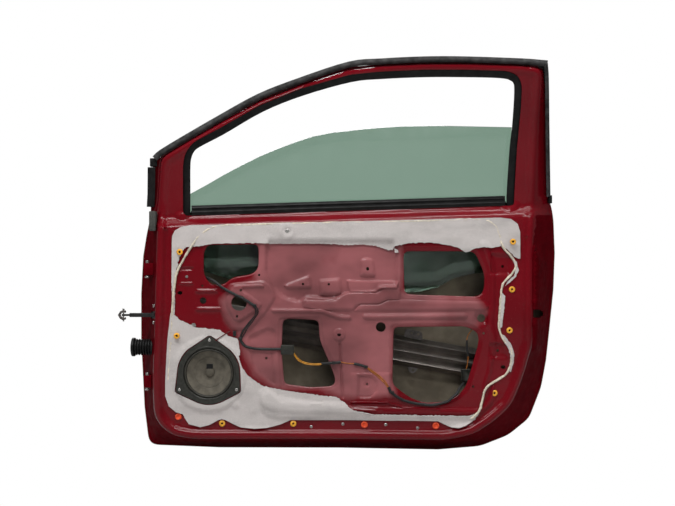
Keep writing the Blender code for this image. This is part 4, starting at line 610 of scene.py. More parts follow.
def pressed(outline, openings, loops, step, depth_at, thickness):
    """A sheet over the picture, thickened towards the outside by an operator."""
    places, triangles = outlined(outline, openings, loops, step)
    spots = places_at(places, depth_at(places))
    form = bmesh.new()
    corner = {index: form.verts.new(spots[index]) for index in sorted(set(triangles.ravel()))}
    for triangle in triangles:
        form.faces.new([corner[index] for index in triangle])
    bmesh.ops.recalc_face_normals(form, faces=form.faces)
    if sum(face.normal.y * face.calc_area() for face in form.faces) < 0:
        bmesh.ops.reverse_faces(form, faces=form.faces)
    area = sum(face.calc_area() for face in form.faces)
    bmesh.ops.solidify(form, geom=form.faces[:], thickness=thickness)
    bmesh.ops.recalc_face_normals(form, faces=form.faces)
    return form, area


def spun(profile, centre, axis, steps):
    """A turned solid: a profile of (radius, height) pairs spun about its axis."""
    form = bmesh.new()
    points = [form.verts.new((radius, 0, height)) for radius, height in profile]
    pairs = list(zip(points, points[1:]))
    if profile[0][0] > 0:
        pairs.append((points[-1], points[0]))
    edges = [form.edges.new(pair) for pair in pairs]
    bmesh.ops.spin(form, geom=points + edges, cent=(0, 0, 0), axis=(0, 0, 1), angle=math.tau, steps=steps,
                   use_merge=True)
    bmesh.ops.remove_doubles(form, verts=form.verts, dist=0.002 * MM)
    bmesh.ops.recalc_face_normals(form, faces=form.faces)
    turn = Matrix.Translation(centre) @ Vector(axis).to_track_quat("Z", "Y").to_matrix().to_4x4()
    bmesh.ops.transform(form, matrix=turn, verts=form.verts)
    return form


def swept(rings):
    """One solid drawn out through a row of equal sections."""
    form = bmesh.new()
    ring = [form.verts.new(point) for point in rings[0]]
    edges = [form.edges.new(pair) for pair in zip(ring, ring[1:] + ring[:1])]
    first = edges
    for target in rings[1:]:
        moved = {tuple(vert.co): Vector(place) for vert, place in zip(ring, target)}
        made = bmesh.ops.extrude_edge_only(form, edges=edges)["geom"]
        found = {tuple(item.co): item for item in made if isinstance(item, bmesh.types.BMVert)}
        ring = [found[tuple(vert.co)] for vert in ring]
        for vert in ring:
            vert.co = moved[tuple(vert.co)]
        edges = [edge for edge in made if isinstance(edge, bmesh.types.BMEdge)
                 and all(vert in ring for vert in edge.verts)]
    for ends in (first, edges):
        bmesh.ops.triangle_fill(form, edges=ends, use_beauty=True)
    bmesh.ops.recalc_face_normals(form, faces=form.faces)
    return form


def along_path(path, section, depth_at):
    """Sections of (offset to the right of a picture path, depth) pairs along it."""
    rings = []
    for index, point in enumerate(path):
        before = path[max(index - 1, 0)]
        after = path[min(index + 1, len(path) - 1)]
        along = (Vector(after) - Vector(before)).normalized()
        places = np.array([(point[0] - along.y * offset / GRID[0], point[1] + along.x * offset / GRID[1])
                           for offset, _ in section])
        drops = [drop for _, drop in section]
        depths = depth_at(places)
        rings.append([at(*place, float(depth) + drop) for place, depth, drop in zip(places, depths, drops)])
    return rings


def softened(form, edges, width, segments=3):
    """Round the given edges with a bevel."""
    bmesh.ops.bevel(form, geom=edges, offset=width, offset_type="OFFSET", segments=segments, profile=0.5,
                    affect="EDGES", clamp_overlap=True, material=-1)


def steep_edges(form, degrees):
    """Edges between two faces that meet at more than an angle."""
    return [edge for edge in form.edges
            if len(edge.link_faces) == 2 and edge.calc_face_angle(0) > math.radians(degrees)]


def refined(node, paint, bevel=0.0, sharp=35):
    """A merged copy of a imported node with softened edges, which replaces it."""
    form = bmesh.new()
    form.from_mesh(frame["nodes"][node].data)
    bmesh.ops.remove_doubles(form, verts=form.verts, dist=0.01 * MM)
    bmesh.ops.dissolve_limit(form, angle_limit=math.radians(1), verts=form.verts, edges=form.edges)
    if bevel:
        softened(form, steep_edges(form, 40), bevel, 2)
    return add_piece(node + "_fine", form, paint, [node], sharp, frame["nodes"][node]["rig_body"])


# Finishes

def combined(tree, operation, first, second):
    """The result of a Math node for a socket and another socket or a number."""
    node = tree.nodes.new("ShaderNodeMath")
    node.operation = operation
    tree.links.new(first, node.inputs[0])
    if isinstance(second, bpy.types.NodeSocket):
        tree.links.new(second, node.inputs[1])
    else:
        node.inputs[1].default_value = second
    return node.outputs[0]


class Finish:
    """A Principled material built up from noise on Object coordinates."""

    def __init__(self, name, colour, roughness, metallic=0.0, gloss=0.5):
        self.material = bpy.data.materials.new(name)
        self.material.use_nodes = True
        self.nodes = self.material.node_tree.nodes
        self.links = self.material.node_tree.links
        self.shader = self.nodes["Principled BSDF"]
        self.shader.inputs["Base Color"].default_value = (*colour, 1)
        self.shader.inputs["Roughness"].default_value = roughness
        self.shader.inputs["Metallic"].default_value = metallic
        self.shader.inputs["Specular IOR Level"].default_value = gloss
        self.place = self.nodes.new("ShaderNodeTexCoord").outputs["Object"]
        self.bump = None

    def noise(self, scale, detail=3.0, stretch=(1, 1, 1)):
        """The value of a noise pattern."""
        turn = self.nodes.new("ShaderNodeMapping")
        turn.inputs["Scale"].default_value = stretch
        self.links.new(self.place, turn.inputs["Vector"])
        pattern = self.nodes.new("ShaderNodeTexNoise")
        pattern.inputs["Scale"].default_value = scale
        pattern.inputs["Detail"].default_value = detail
        self.links.new(turn.outputs["Vector"], pattern.inputs["Vector"])
        return pattern.outputs["Fac"]

    def spread(self, value, low, high, out_low=0.0, out_high=1.0):
        """A value mapped from one range to another."""
        node = self.nodes.new("ShaderNodeMapRange")
        limits = {"From Min": low, "From Max": high, "To Min": out_low, "To Max": out_high}
        for name, number in limits.items():
            node.inputs[name].default_value = number
        self.links.new(value, node.inputs["Value"])
        return node.outputs["Result"]

    def blend(self, share, first, second):
        """A colour between two colours."""
        node = self.nodes.new("ShaderNodeMix")
        node.data_type = "RGBA"
        self.links.new(share, node.inputs["Factor"])
        for socket, colour in ((node.inputs[6], first), (node.inputs[7], second)):
            if isinstance(colour, bpy.types.NodeSocket):
                self.links.new(colour, socket)
            else:
                socket.default_value = (*colour, 1)
        return node.outputs[2]

    def sum(self, first, second):
        """Two values added."""
        return combined(self.material.node_tree, "ADD", first, second)

    def colour(self, value):
        """Give the base colour."""
        self.links.new(value, self.shader.inputs["Base Color"])

    def rough(self, value):
        """Give the roughness."""
        self.links.new(value, self.shader.inputs["Roughness"])

    def dents(self, value, strength, distance):
        """Raise the surface by a pattern."""
        node = self.nodes.new("ShaderNodeBump")
        node.inputs["Strength"].default_value = strength
        node.inputs["Distance"].default_value = distance
        self.links.new(value, node.inputs["Height"])
        if self.bump:
            self.links.new(self.bump, node.inputs["Normal"])
        self.bump = node.outputs["Normal"]
        self.links.new(self.bump, self.shader.inputs["Normal"])


def shade(colour, factor):
    """A lighter or darker copy of a colour."""
    return tuple(min(1, part * factor) for part in colour)


def worn(name, colour, roughness, metallic=0.0, scale=60.0, depth=0.1, dark=0.7, light=1.25, grain=900.0,
         gloss=0.3):
    """A finish with cloudy colour, uneven gloss and a fine grain."""
    made = Finish(name, colour, roughness, metallic, gloss)
    cloud = made.noise(scale, 5)
    made.colour(made.blend(made.spread(cloud, 0.35, 0.65), shade(colour, dark), shade(colour, light)))
    duller = min(roughness + 0.12, 1)
    made.rough(made.spread(made.noise(scale * 2.3, 4), 0.3, 0.7, max(roughness - 0.1, 0.04), duller))
    made.dents(made.noise(grain, 2), depth, 0.3 * MM)
    return made.material


def body_paint(name, red, dust):
    """Gloss red paint with dull overspray where the attribute says, streaks and small scratches."""
    made = Finish(name, red, 0.2, 0, 0.13)
    made.shader.inputs["Coat Weight"].default_value = 0.16
    made.shader.inputs["Coat Roughness"].default_value = 0.07
    mask = made.nodes.new("ShaderNodeAttribute")
    mask.attribute_name = "overspray"
    drift = made.spread(made.noise(9, 6), 0.25, 0.75, -0.28, 0.28)
    share = made.spread(made.sum(mask.outputs["Fac"], drift), 0.25, 0.85)
    cloud = made.spread(made.noise(5, 3, (1, 1, 1.6)), 0.35, 0.65)
    cover = made.blend(cloud, shade(dust, 0.62), shade(dust, 1.2))
    deep = made.blend(made.spread(made.noise(3.2, 3), 0.35, 0.65), shade(red, 0.8), shade(red, 1.15))
    base = made.blend(share, deep, cover)
    speck = made.spread(made.noise(420, 2), 0.70, 0.76, 0, 0.5)
    made.colour(made.blend(speck, base, (0.30, 0.10, 0.10)))
    gloss = made.spread(share, 0, 1, 0.2, 0.46)
    haze = made.spread(made.noise(30, 5), 0.3, 0.7, -0.04, 0.07)
    made.rough(made.sum(gloss, haze))
    made.dents(made.noise(240, 2), 0.03, 0.2 * MM)
    return made.material


def felt_fleece(name, tint):
    """Matted fibres: fine mottle, soft lumps and a few grey stains."""
    made = Finish(name, tint, 0.97)
    made.shader.inputs["Sheen Weight"].default_value = 0.25
    fine = made.spread(made.noise(520, 4), 0.3, 0.7)
    base = made.blend(fine, shade(tint, 0.80), shade(tint, 1.14))
    stain = made.spread(made.noise(11, 5, (1, 1, 2)), 0.50, 0.72, 0, 0.5)
    made.colour(made.blend(stain, base, shade(tint, 0.62)))
    made.dents(made.noise(700, 3), 0.5, 0.5 * MM)
    made.dents(made.noise(70, 3), 0.4, 1.2 * MM)
    return made.material


def clear_glass(name, tint):
    """Tinted glass with a film of dust."""
    made = Finish(name, tint, 0.02)
    made.shader.inputs["Transmission Weight"].default_value = 1.0
    made.shader.inputs["IOR"].default_value = 1.45
    made.rough(made.spread(made.noise(26, 6, (1, 1, 0.4)), 0.35, 0.75, 0.06, 0.22))
    speck = made.spread(made.noise(260, 3), 0.66, 0.74, 0, 0.55)
    made.colour(made.blend(speck, tint, shade(tint, 0.55)))
    return made.material


def brushed(name, colour, roughness, stretch):
    """Sheet steel with fine lines along its length and cloudy tarnish."""
    made = Finish(name, colour, roughness, 0.85)
    cloud = made.spread(made.noise(22, 5), 0.3, 0.7)
    made.colour(made.blend(cloud, shade(colour, 0.8), shade(colour, 1.2)))
    lines = made.noise(160, 2, stretch)
    made.rough(made.spread(lines, 0.3, 0.7, roughness - 0.04, roughness + 0.08))
    made.dents(lines, 0.03, 0.2 * MM)
    return made.material


PAINTS = {}


def finishes(look):
    """Make the finishes once, from the user's colours."""
    if PAINTS:
        return PAINTS
    PAINTS.update({
        "red": body_paint("panel_paint", look.red, look.dust),
        # Painted shade: a darker, dull copy of the body red for the panel's flange sides, the front edge lip
        # and the hinges, which carry the same red paint
        "side": worn("shaded_edge_paint", shade(look.red, 0.6), 0.6, scale=25, depth=0.05, dark=0.88, light=1.14,
                     gloss=0.01),
        "skin": worn("skin_paint", look.red, 0.2, scale=6, depth=0.02, dark=0.85, light=1.1),
        "primer": worn("inner_primer", look.primer, 0.7, scale=14, depth=0.08),
        "felt": felt_fleece("felt_fleece", look.felt),
        "butyl": worn("butyl_cream", look.butyl, 0.55, scale=180, depth=0.5, dark=0.72, light=1.2, grain=500),
        "rubber": worn("seal_rubber", look.rubber, 0.5, scale=40, depth=0.06, dark=0.6, light=1.7, gloss=0.2),
        "seal": worn("weatherstrip_rubber", shade(look.rubber, 7), 0.75, scale=50, depth=0.2, dark=0.6,
                     light=1.5, gloss=0.1),
        "foam": worn("foam_grey", (0.05, 0.05, 0.045), 0.95, scale=300, depth=0.6, grain=600),
        "steel": brushed("beam_steel", look.steel, 0.34, (0.4, 1, 14)),
        "bolt": worn("bolt_zinc", (0.42, 0.41, 0.39), 0.3, 0.9, scale=250, depth=0.1),
        "hinge": worn("hinge_metal", (0.10, 0.09, 0.085), 0.5, 0.7, scale=120, depth=0.15),
        "strap": worn("strap_black", (0.02, 0.02, 0.02), 0.45, 0.3, scale=90, depth=0.1),
        "frame": worn("speaker_plastic", (0.022, 0.022, 0.018), 0.42, scale=120, depth=0.12),
        "cone": worn("cone_paper", look.cone, 0.8, scale=45, depth=0.35, dark=0.75, light=1.3, grain=1400),
        "surround": worn("surround_rubber", (0.03, 0.028, 0.022), 0.55, scale=90, depth=0.05),
        "clip": worn("clip_nylon", look.clip, 0.42, scale=150, depth=0.05, dark=0.8, light=1.15),
        "plug": worn("plug_rubber", look.plug, 0.5, scale=140, depth=0.08, dark=0.8, light=1.2),
        "cable": worn("loom_tape", (0.012, 0.012, 0.012), 0.55, scale=260, depth=0.6, dark=0.6, light=1.8,
                      grain=300),
        "yellow": worn("wire_yellow", (0.45, 0.20, 0.02), 0.45, scale=90, depth=0.02),
        "orange": worn("wire_orange", (0.32, 0.10, 0.015), 0.45, scale=90, depth=0.02),
        "dark_red": worn("wire_red", (0.08, 0.006, 0.006), 0.45, scale=90, depth=0.02),
        "glass": clear_glass("green_glass", look.glass),
        # Near-black for the painted shade inside the trim clips' holes
        "dark": worn("painted_shade_black", (0.004, 0.004, 0.004), 0.8, depth=0.02),
    })
    return PAINTS


class DoorStep(bpy.types.Operator):
    """Shared start of the door's operators."""
    bl_options = {"REGISTER", "UNDO"}

    def execute(self, context):
        """Build the pieces with the user's sizes and colours."""
        look = context.scene.car_door
        self.build(look, finishes(look))
        return {"FINISHED"}


def fold_loops(loop, widths, spacing):
    """Copies of a loop at a few insets, divided evenly."""
    copies = [inset(loop, width) if width else list(loop) for width in widths]
    return [evened(copy, spacing * 0.35, spacing) for copy in copies]


class CARDOOR_OT_inner_panel(DoorStep):
    """The pressed inner panel with its window frame, openings and embosses"""
    bl_idname = "car_door.inner_panel"
    bl_label = "Inner panel"

    def build(self, look, paints):
        """Fine surface with soft folds, painted with an overspray share at each corner."""
        step = look.grid_step
        edge = evened(inset(SKIN, 0.5), 1.2, 6)
        loops = fold_loops(RIM, (0, 1.6, 3.8, 6, 8.4), 2.8)
        loops.append(evened(inset(SKIN, FLANGE_FOOT), 1.2, 6))
        for width in (-0.9, -2.4):
            loops += fold_loops([point for point in inset(RIM, width) if point[1] > BODY_TOP_ROW], (0,), 2.6)
        for outline, _, wall in EMBOSSES:
            loops += fold_loops(outline, (-wall * 0.25, wall * 0.4, wall), 2.2)
        openings = [evened(rounded(WINDOW_PX, 6), 1.0, 6)]
        for opening in OPENINGS:
            openings.append(evened(opening, 0.7, 3))
            loops += fold_loops(opening, (-0.7, -1.5), 3)
        openings += [divided(rounded(LATCH_PX, 0.5, 2), 2), STRAP_SLOT_PX]
        openings.append(oval(SPEAKER_PX, 26.7, 26.7, 48))
        openings += [oval((column, row), across, down, 20 if across > 2 else 10)
                     for column, row, across, down in HOLES_PX]
        form, _ = pressed(edge, openings, loops, step, panel_depth, SHEET)
        panel = add_piece("inner_panel_fine", form, [paints["red"], paints["side"]],
                          ["inner_panel"], 60)
        seen = picture_of(np.array([tuple(vert.co) for vert in panel.data.vertices]))
        # Faces outside the rim, below the body line, take the darker copy of the red: painted shade on the
        # flange
        outside = (signed(seen, RIM) < -0.8) & (seen[:, 1] > BODY_TOP_ROW)
        for face in panel.data.polygons:
            if all(outside[corner] for corner in face.vertices):
                face.material_index = 1
        share = smooth((signed(seen, OVERSPRAY_PX) + 9) / 18)
        mask = panel.data.attributes.new("overspray", "FLOAT", "POINT")
        mask.data.foreach_set("value", share.astype(np.float32))


class CARDOOR_OT_outer_skin(DoorStep):
    """The outer skin, gloss outside and primer inside"""
    bl_idname = "car_door.outer_skin"
    bl_label = "Outer skin"

    def build(self, look, paints):
        """Fine barrel-shaped surface whose inner face takes the primer."""
        hole = evened(inset(WINDOW_PX, 3.4), 1, 6)
        form, _ = pressed(evened(SKIN, 1.2, 6), [hole], [], 9, skin_depth, SHEET)
        skin = add_piece("outer_skin_fine", form, [paints["skin"], paints["primer"]],
                         ["outer_skin"])
        for face in skin.data.polygons:
            face.material_index = 1 if face.normal.y < -0.3 and face.center.z < 0.16 else 0


class CARDOOR_OT_glass(DoorStep):
    """The half-lowered window glass"""
    bl_idname = "car_door.glass"
    bl_label = "Window glass"

    def build(self, look, paints):
        """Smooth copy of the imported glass."""
        refined("window_glass", paints["glass"], 0.5 * MM, 30)


class CARDOOR_OT_seals(DoorStep):
    """Glass run, belt seals, weatherstrips and the trims at the frame's edges"""
    bl_idname = "car_door.seals"
    bl_label = "Seals"

    def build(self, look, paints):
        """Sections drawn along smooth paths."""
        def strip(name, path, section, paint, node, sharp=40):
            rings = along_path(path, section, glass_side)
            add_piece(name, swept(rings), paints[paint], [node], sharp)

        face = SKIN_OUTSET - SHEET / 2 - 1 * MM
        run = [(0.3, -18), (20, -18), (22, -16), (22, -3.4), (8, -3.4), (8, 3.4), (20, 3.4), (20, 10)]
        run = in_mm(run) + [(0.3 * MM, face)]
        path = [(183, 285), (183, 250), (183, 216), (183, 190), (183, 168), (184, 157), (188, 147.5),
                (196, 140.6), (220, 128), (260, 105), (301, 88.6), (350, 74.9), (382, 71.7), (424, 69.9),
                (466, 69.9), (500, 70.8), (513, 73.6), (520, 80), (521.6, 92), (519.6, 125), (517, 148),
                (514.2, 190), (513.8, 205), (513.8, 250), (513.8, 285)]
        strip("glass_run_fine", flowing(path, 4), run, "rubber", "glass_run_channel")
        weather = in_mm([(0.12, -0.59), (0.12, 0.76), (-0.59, 0.82), (-0.94, 0.47), (-1, 0), (-0.7, -0.53),
                         (-0.35, -0.76)], 17)
        path = [(156.6, 160.4), (160.4, 156.6), (166, 152.7), (180, 144.2), (194, 136), (220, 121), (260, 99),
                (301, 83), (350, 67), (382, 64), (424, 62), (466, 62), (522, 64), (540.5, 65.4), (547.4, 66)]
        strip("frame_weatherstrip_fine", flowing(path, 4), rounded(weather, 3 * MM, 2), "seal",
              "frame_weatherstrip")
        narrow = [(across * 0.55 if across < 0 else 3 * MM, depth) for across, depth in weather]
        path = [(544.8, 63.4), (545.8, 80), (546.4, 130), (547.4, 196.6)]
        strip("rear_weatherstrip_fine", flowing(path, 6), rounded(narrow, 2 * MM, 2), "seal",
              "rear_weatherstrip")
        corner = rounded([(536, 64), (546.6, 64.4), (547, 80), (543.6, 74), (540.6, 70)], 1)
        form, _ = pressed(divided(corner, 2), [], [], 2, lambda points: skin_depth(points) - 3 * MM, 2 * MM)
        add_piece("rear_corner_web", form, paints["seal"])
        refined("belt_seal_outer", paints["rubber"], 0.6 * MM)
        lips = [(-0.4, -33), (-6, -33), (-7.4, -34.2), (-9.4, -34.2), (-10.8, -31), (-12.6, -29.6),
                (-19, -29.4), (-20.4, -31.4), (-22.4, -31.4), (-24, -29), (-28.4, -28.2), (-30, -25),
                (-30, -2.7), (-27.5, -2.7), (-27.5, -8), (-18, -8), (-17.1, -2.7), (-14.6, -2.7),
                (-14.6, -8), (-5.1, -8), (-4.2, -2.7), (-1.7, -2.7), (-1.7, -8), (-0.4, -8)]
        (front, low), (rear, high) = WINDOW_PX[0], WINDOW_PX[-1]
        columns = np.linspace(191.8, 505.2, 24)
        belt = [(column, low + (high - low) * (column - front) / (rear - front)) for column in columns]
        strip("belt_seal_inner_fine", belt, in_mm(lips), "rubber", "belt_seal_inner", 50)
        for node in ("front_corner_block", "front_trim_strip", "rear_corner_cap"):
            refined(node, paints["rubber"], 0.8 * MM)
        refined("front_foam_block", paints["foam"])
        lip = [(155.4, 157.6), (162, 157.6), (161, 190), (160.4, 232), (150.6, 232), (150.4, 222), (151, 208),
               (151.4, 192), (152.4, 172), (153.6, 162)]
        form, _ = pressed(divided(lip, 4), [], [], 4, lambda points: skin_depth(points) - 1 * MM, SHEET)
        # The lip is body red; it takes the darker copy of the red as painted shade
        add_piece("front_edge_lip", form, paints["side"])


def clear_depth(points, reach):
    """Nearest panel depth within reach of each picture point."""
    points = np.asarray(points, dtype=float)
    nearest = panel_depth(points)
    for share in (0.5, 1.0):
        for step in range(AROUND):
            angle = math.tau * step / AROUND
            offset = np.array((math.cos(angle), math.sin(angle))) * reach * share
            nearest = np.minimum(nearest, panel_depth(points + offset))
    return nearest


def torn(points, reach, seed):
    """An open line with a ragged course between its points."""
    result = []
    for a, b in zip(points, points[1:]):
        parts = max(1, math.ceil(math.dist(a, b) / 1.1))
        along = (Vector(b) - Vector(a)).normalized()
        side = Vector((-along.y, along.x))
        for part in range(parts):
            place = Vector(a).lerp(Vector(b), part / parts)
            wobble = noise.noise(Vector((place.x * 0.55, place.y * 0.55, seed)))
            wobble += 0.6 * noise.noise(Vector((place.x * 1.9, place.y * 1.9, seed + 7)))
            result.append(tuple(place + side * wobble * reach))
    return result


def basket_loop(radius, tip, sides):
    """Outline of the loudspeaker's flange in the picture, round with three ears on straight flanks."""
    points = []
    for centre, size in [(SPEAKER_PX, radius)] + [(ear, tip) for ear in EARS_PX]:
        points += oval(centre, size / GRID[0], size / GRID[1], sides)
    points = [Vector(point) for point in points]
    around = convex_hull_2d(points)
    return thinned([tuple(points[index]) for index in around], 0.6)


class CARDOOR_OT_felt(DoorStep):
    """The torn remains of the felt water shield"""
    bl_idname = "car_door.felt"
    bl_label = "Felt water shield"

    def build(self, look, paints):
        """Sheets that lie on the panel and follow its ridges, with ragged edges where they are torn."""
        thickness = look.felt_thickness

        def lie(points):
            points = np.asarray(points, dtype=float)
            depth = clear_depth(points, FELT_REACH) - thickness - LIFT
            away = np.hypot(*(points - SCREWS_PX[-1]).T)
            depth = depth - 3 * MM * smooth(1 - np.abs(away - 6.2) / 3.2)
            folds = np.array([noise.noise(Vector((x * 0.07, y * 0.10, 3.1))) for x, y in points])
            return depth - 1.2 * MM * (folds + 0.6)

        ring = basket_loop(94 * MM, 13 * MM, 72)
        upper = FELT_UPPER_CLEAN_PX[:-1] + torn(FELT_UPPER_CLEAN_PX[-1:] + FELT_UPPER_TORN_PX, 0.9, 1)
        lower = torn(FELT_LOWER_TORN_PX + FELT_LOWER_CLEAN_PX[:1], 0.9, 5) + FELT_LOWER_CLEAN_PX
        sheets = {"felt_upper": (upper, []), "felt_lower": (lower, [ring])}
        for name, (outline, holes) in sheets.items():
            form, area = pressed(evened(outline, 0.4, 2.2), holes, [], 2.2, lie, thickness)
            item = add_piece(name + "_fine", form, paints["felt"], [name], 60)
            low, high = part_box(name)
            width = (high.x - low.x) * 1.01
            length = min((high.z - low.z) * 1.01, area / width / 0.34)
            length = max(length, area / width * 1.01)
        for index, outline in enumerate(FELT_RAGS_PX):
            loop = torn([*outline, outline[0]], 0.7, 11 + index)
            form, area = pressed(thinned(loop, 0.3), [], [], 2, lie, thickness * 0.45)
            item = add_piece(f"felt_rag_{index + 1}", form, paints["felt"], sharp=60)
            spots = np.array([tuple(vert.co) for vert in item.data.vertices])
            width = min(float(np.ptp(spots[:, 0])), area / (0.6 * 12 * MM))
            length = area / (0.6 * width)


def tubed(points, radius, sides, lump, seed):
    """A round tube along points, uneven where it is lumpy."""
    rings = []
    side = None
    for index, point in enumerate(points):
        along = (points[min(index + 1, len(points) - 1)] - points[max(index - 1, 0)]).normalized()
        side = along.orthogonal() if side is None else side - along * side.dot(along)
        side.normalize()
        across = along.cross(side)
        ring = []
        for step in range(sides):
            out = side * math.cos(math.tau * step / sides) + across * math.sin(math.tau * step / sides)
            swell = 1 + lump * noise.noise(point * 110 + out + Vector((seed, seed, seed)))
            ring.append(point + out * radius * swell)
        rings.append(ring)
    return swept(rings)


def rest_on(points, reach):
    """Depth of the ground, panel or felt, at picture points."""
    points = np.asarray(points, dtype=float)
    depth = clear_depth(points, reach)
    for sheet in (FELT_UPPER_CLEAN_PX + FELT_UPPER_TORN_PX, FELT_LOWER_TORN_PX + FELT_LOWER_CLEAN_PX):
        covered = signed(points, sheet) > -1.5
        depth = np.where(covered, clear_depth(points, FELT_REACH) - 4.6 * MM, depth)
    return depth


def laid(route, radius, steps=6, reach=2.0):
    """A smooth route laid on the panel or its felt."""
    path = flowing(route, steps)
    depths = rest_on(path, reach)
    even = np.array([depths[max(0, index - 2):index + 3].min() for index in range(len(depths))])
    even = np.convolve(np.pad(even, 2, mode="edge"), np.ones(5) / 5, mode="valid")
    even = np.minimum(even, depths)
    return [at(*point, float(depth) - radius - LIFT) for point, depth in zip(path, even)]


def block(low, high, edge):
    """A box between two corners with rounded edges."""
    form = bmesh.new()
    bmesh.ops.create_cube(form, size=1)
    middle = (Vector(low) + Vector(high)) / 2
    size = Vector(high) - Vector(low)
    bmesh.ops.scale(form, vec=size, verts=form.verts)
    bmesh.ops.translate(form, vec=middle, verts=form.verts)
    softened(form, form.edges[:], edge)
    return form


class CARDOOR_OT_butyl(DoorStep):
    """The cream sealing bead that held the felt"""
    bl_idname = "car_door.butyl"
    bl_label = "Butyl bead"

    def build(self, look, paints):
        """Lumpy beads that narrow and widen along their way."""
        beads = [("butyl_bead_front", BEAD_FRONT_PX), ("butyl_bead_rear", BEAD_REAR_PX)]
        for index, (name, route) in enumerate(beads):
            path = laid(route, look.bead_radius * 0.6, 8, 2.4)
            rows = np.array([CENTRE_PX[1] - (place.z + ORIGIN.z) / GRID[1] for place in path])
            hidden = smooth((244 - rows) / 5) + (1 - index) * smooth((rows - 311) / 5)
            for place, share in zip(path, hidden):
                place.y += float(share) * look.bead_radius * 1.1
            form = tubed(path, look.bead_radius, 9, 0.6, index * 5)
            add_piece(name + "_fine", form, paints["butyl"], [name], 80)


def numbered(name, count):
    """Names of pieces that are numbered from 1."""
    return [f"{name}_{index + 1}" for index in range(count)]


def node_seat(node):
    """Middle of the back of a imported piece, seen from the cabin."""
    low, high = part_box(node)
    return Vector(((low.x + high.x) / 2, high.y, (low.z + high.z) / 2))


def stud(name, spot, profile, paint, steps=24, nodes=()):
    """A small turned piece that faces the cabin, its profile given in millimetres."""
    add_piece(name, spun(in_mm(profile), spot, TO_CABIN, steps), paint, nodes)


class CARDOOR_OT_speaker(DoorStep):
    """The loudspeaker with its eared frame, cone and screws"""
    bl_idname = "car_door.speaker"
    bl_label = "Loudspeaker"

    def build(self, look, paints):
        """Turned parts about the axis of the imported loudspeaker."""
        radius = SPEAKER_RADIUS
        seat = at(*SPEAKER_PX, SPEAKER_DEPTH)
        centre = Vector((seat.x, -ORIGIN.y, seat.z))

        def turned(name, shares, paint, node, steps=72):
            profile = [(across * radius, height * radius) for across, height in shares]
            form = spun(profile, centre, TO_CABIN, steps)
            add_piece(name, form, paints[paint], [node], 35)

        hole = oval(SPEAKER_PX, 0.818 * radius / GRID[0], 0.818 * radius / GRID[1], 72)
        outline = divided(basket_loop(radius, 10 * MM, 144), 1.6)
        ears = [oval(ear, 1.3, 1.3, 14) for ear in EARS_PX]
        form, _ = pressed(outline, [hole], ears, 3, flat_at(SPEAKER_DEPTH), 5 * MM)
        edges = [edge for edge in steep_edges(form, 60) if edge.verts[0].co.y < seat.y]
        softened(form, edges, 1.2 * MM)
        add_piece("speaker_flange", form, paints["frame"], ["speaker_basket"])
        bowl = [(0, -0.34), (0.4, -0.34), (0.69, -0.12), (0.806, 0.036), (0.806, 0.09), (0.812, 0.125),
                (0.83, 0.142), (0.868, 0.142), (0.885, 0.13), (0.892, 0.113), (0.84, 0.09), (0.84, 0.036),
                (0.727, -0.145), (0.424, -0.376), (0, -0.376)]
        turned("speaker_bowl", bowl, "frame", "speaker_basket")
        surround = [(0.719, 0.073), (0.726, 0.094), (0.738, 0.112), (0.752, 0.120), (0.766, 0.120),
                    (0.78, 0.113), (0.793, 0.096), (0.802, 0.073), (0.802, 0.053), (0.719, 0.053)]
        turned("speaker_surround_fine", surround, "surround", "speaker_surround")
        cone = [(0.164, -0.158), (0.24, -0.132), (0.33, -0.102), (0.436, -0.061), (0.47, -0.043),
                (0.485, -0.046), (0.5, -0.03), (0.6, 0.016), (0.715, 0.073), (0.715, 0.053), (0.6, -0.004),
                (0.436, -0.078), (0.164, -0.175)]
        turned("speaker_cone_fine", cone, "cone", "speaker_cone")
        cap = [(0, -0.067), (0.03, -0.068), (0.06, -0.072), (0.09, -0.083), (0.12, -0.103), (0.145, -0.13),
               (0.16, -0.153), (0.16, -0.17), (0, -0.17)]
        turned("speaker_dust_cap_fine", cap, "cone", "speaker_dust_cap", 48)
        magnet = [(0, -0.38), (0.436, -0.38), (0.45, -0.388), (0.46, -0.404), (0.46, -0.545), (0.45, -0.562),
                  (0.436, -0.57), (0, -0.57)]
        turned("speaker_magnet_fine", magnet, "hinge", "speaker_magnet")
        screw = [(0, 1.6), (1.1, 1.6), (1.3, 3), (3, 2.8), (4.3, 2.1), (5, 1.2), (5, 0), (0, 0)]
        for node in numbered("speaker_screw", 3):
            stud(node + "_fine", node_seat(node), screw, paints["bolt"], nodes=[node])
        top = at(206.5, 364, -18.6 * MM)
        low = at(213, 368.5, -14 * MM)
        terminal = block((top.x, top.y, low.z), (low.x, low.y, top.z), 0.6 * MM)
        add_piece("speaker_terminal", terminal, paints["rubber"])


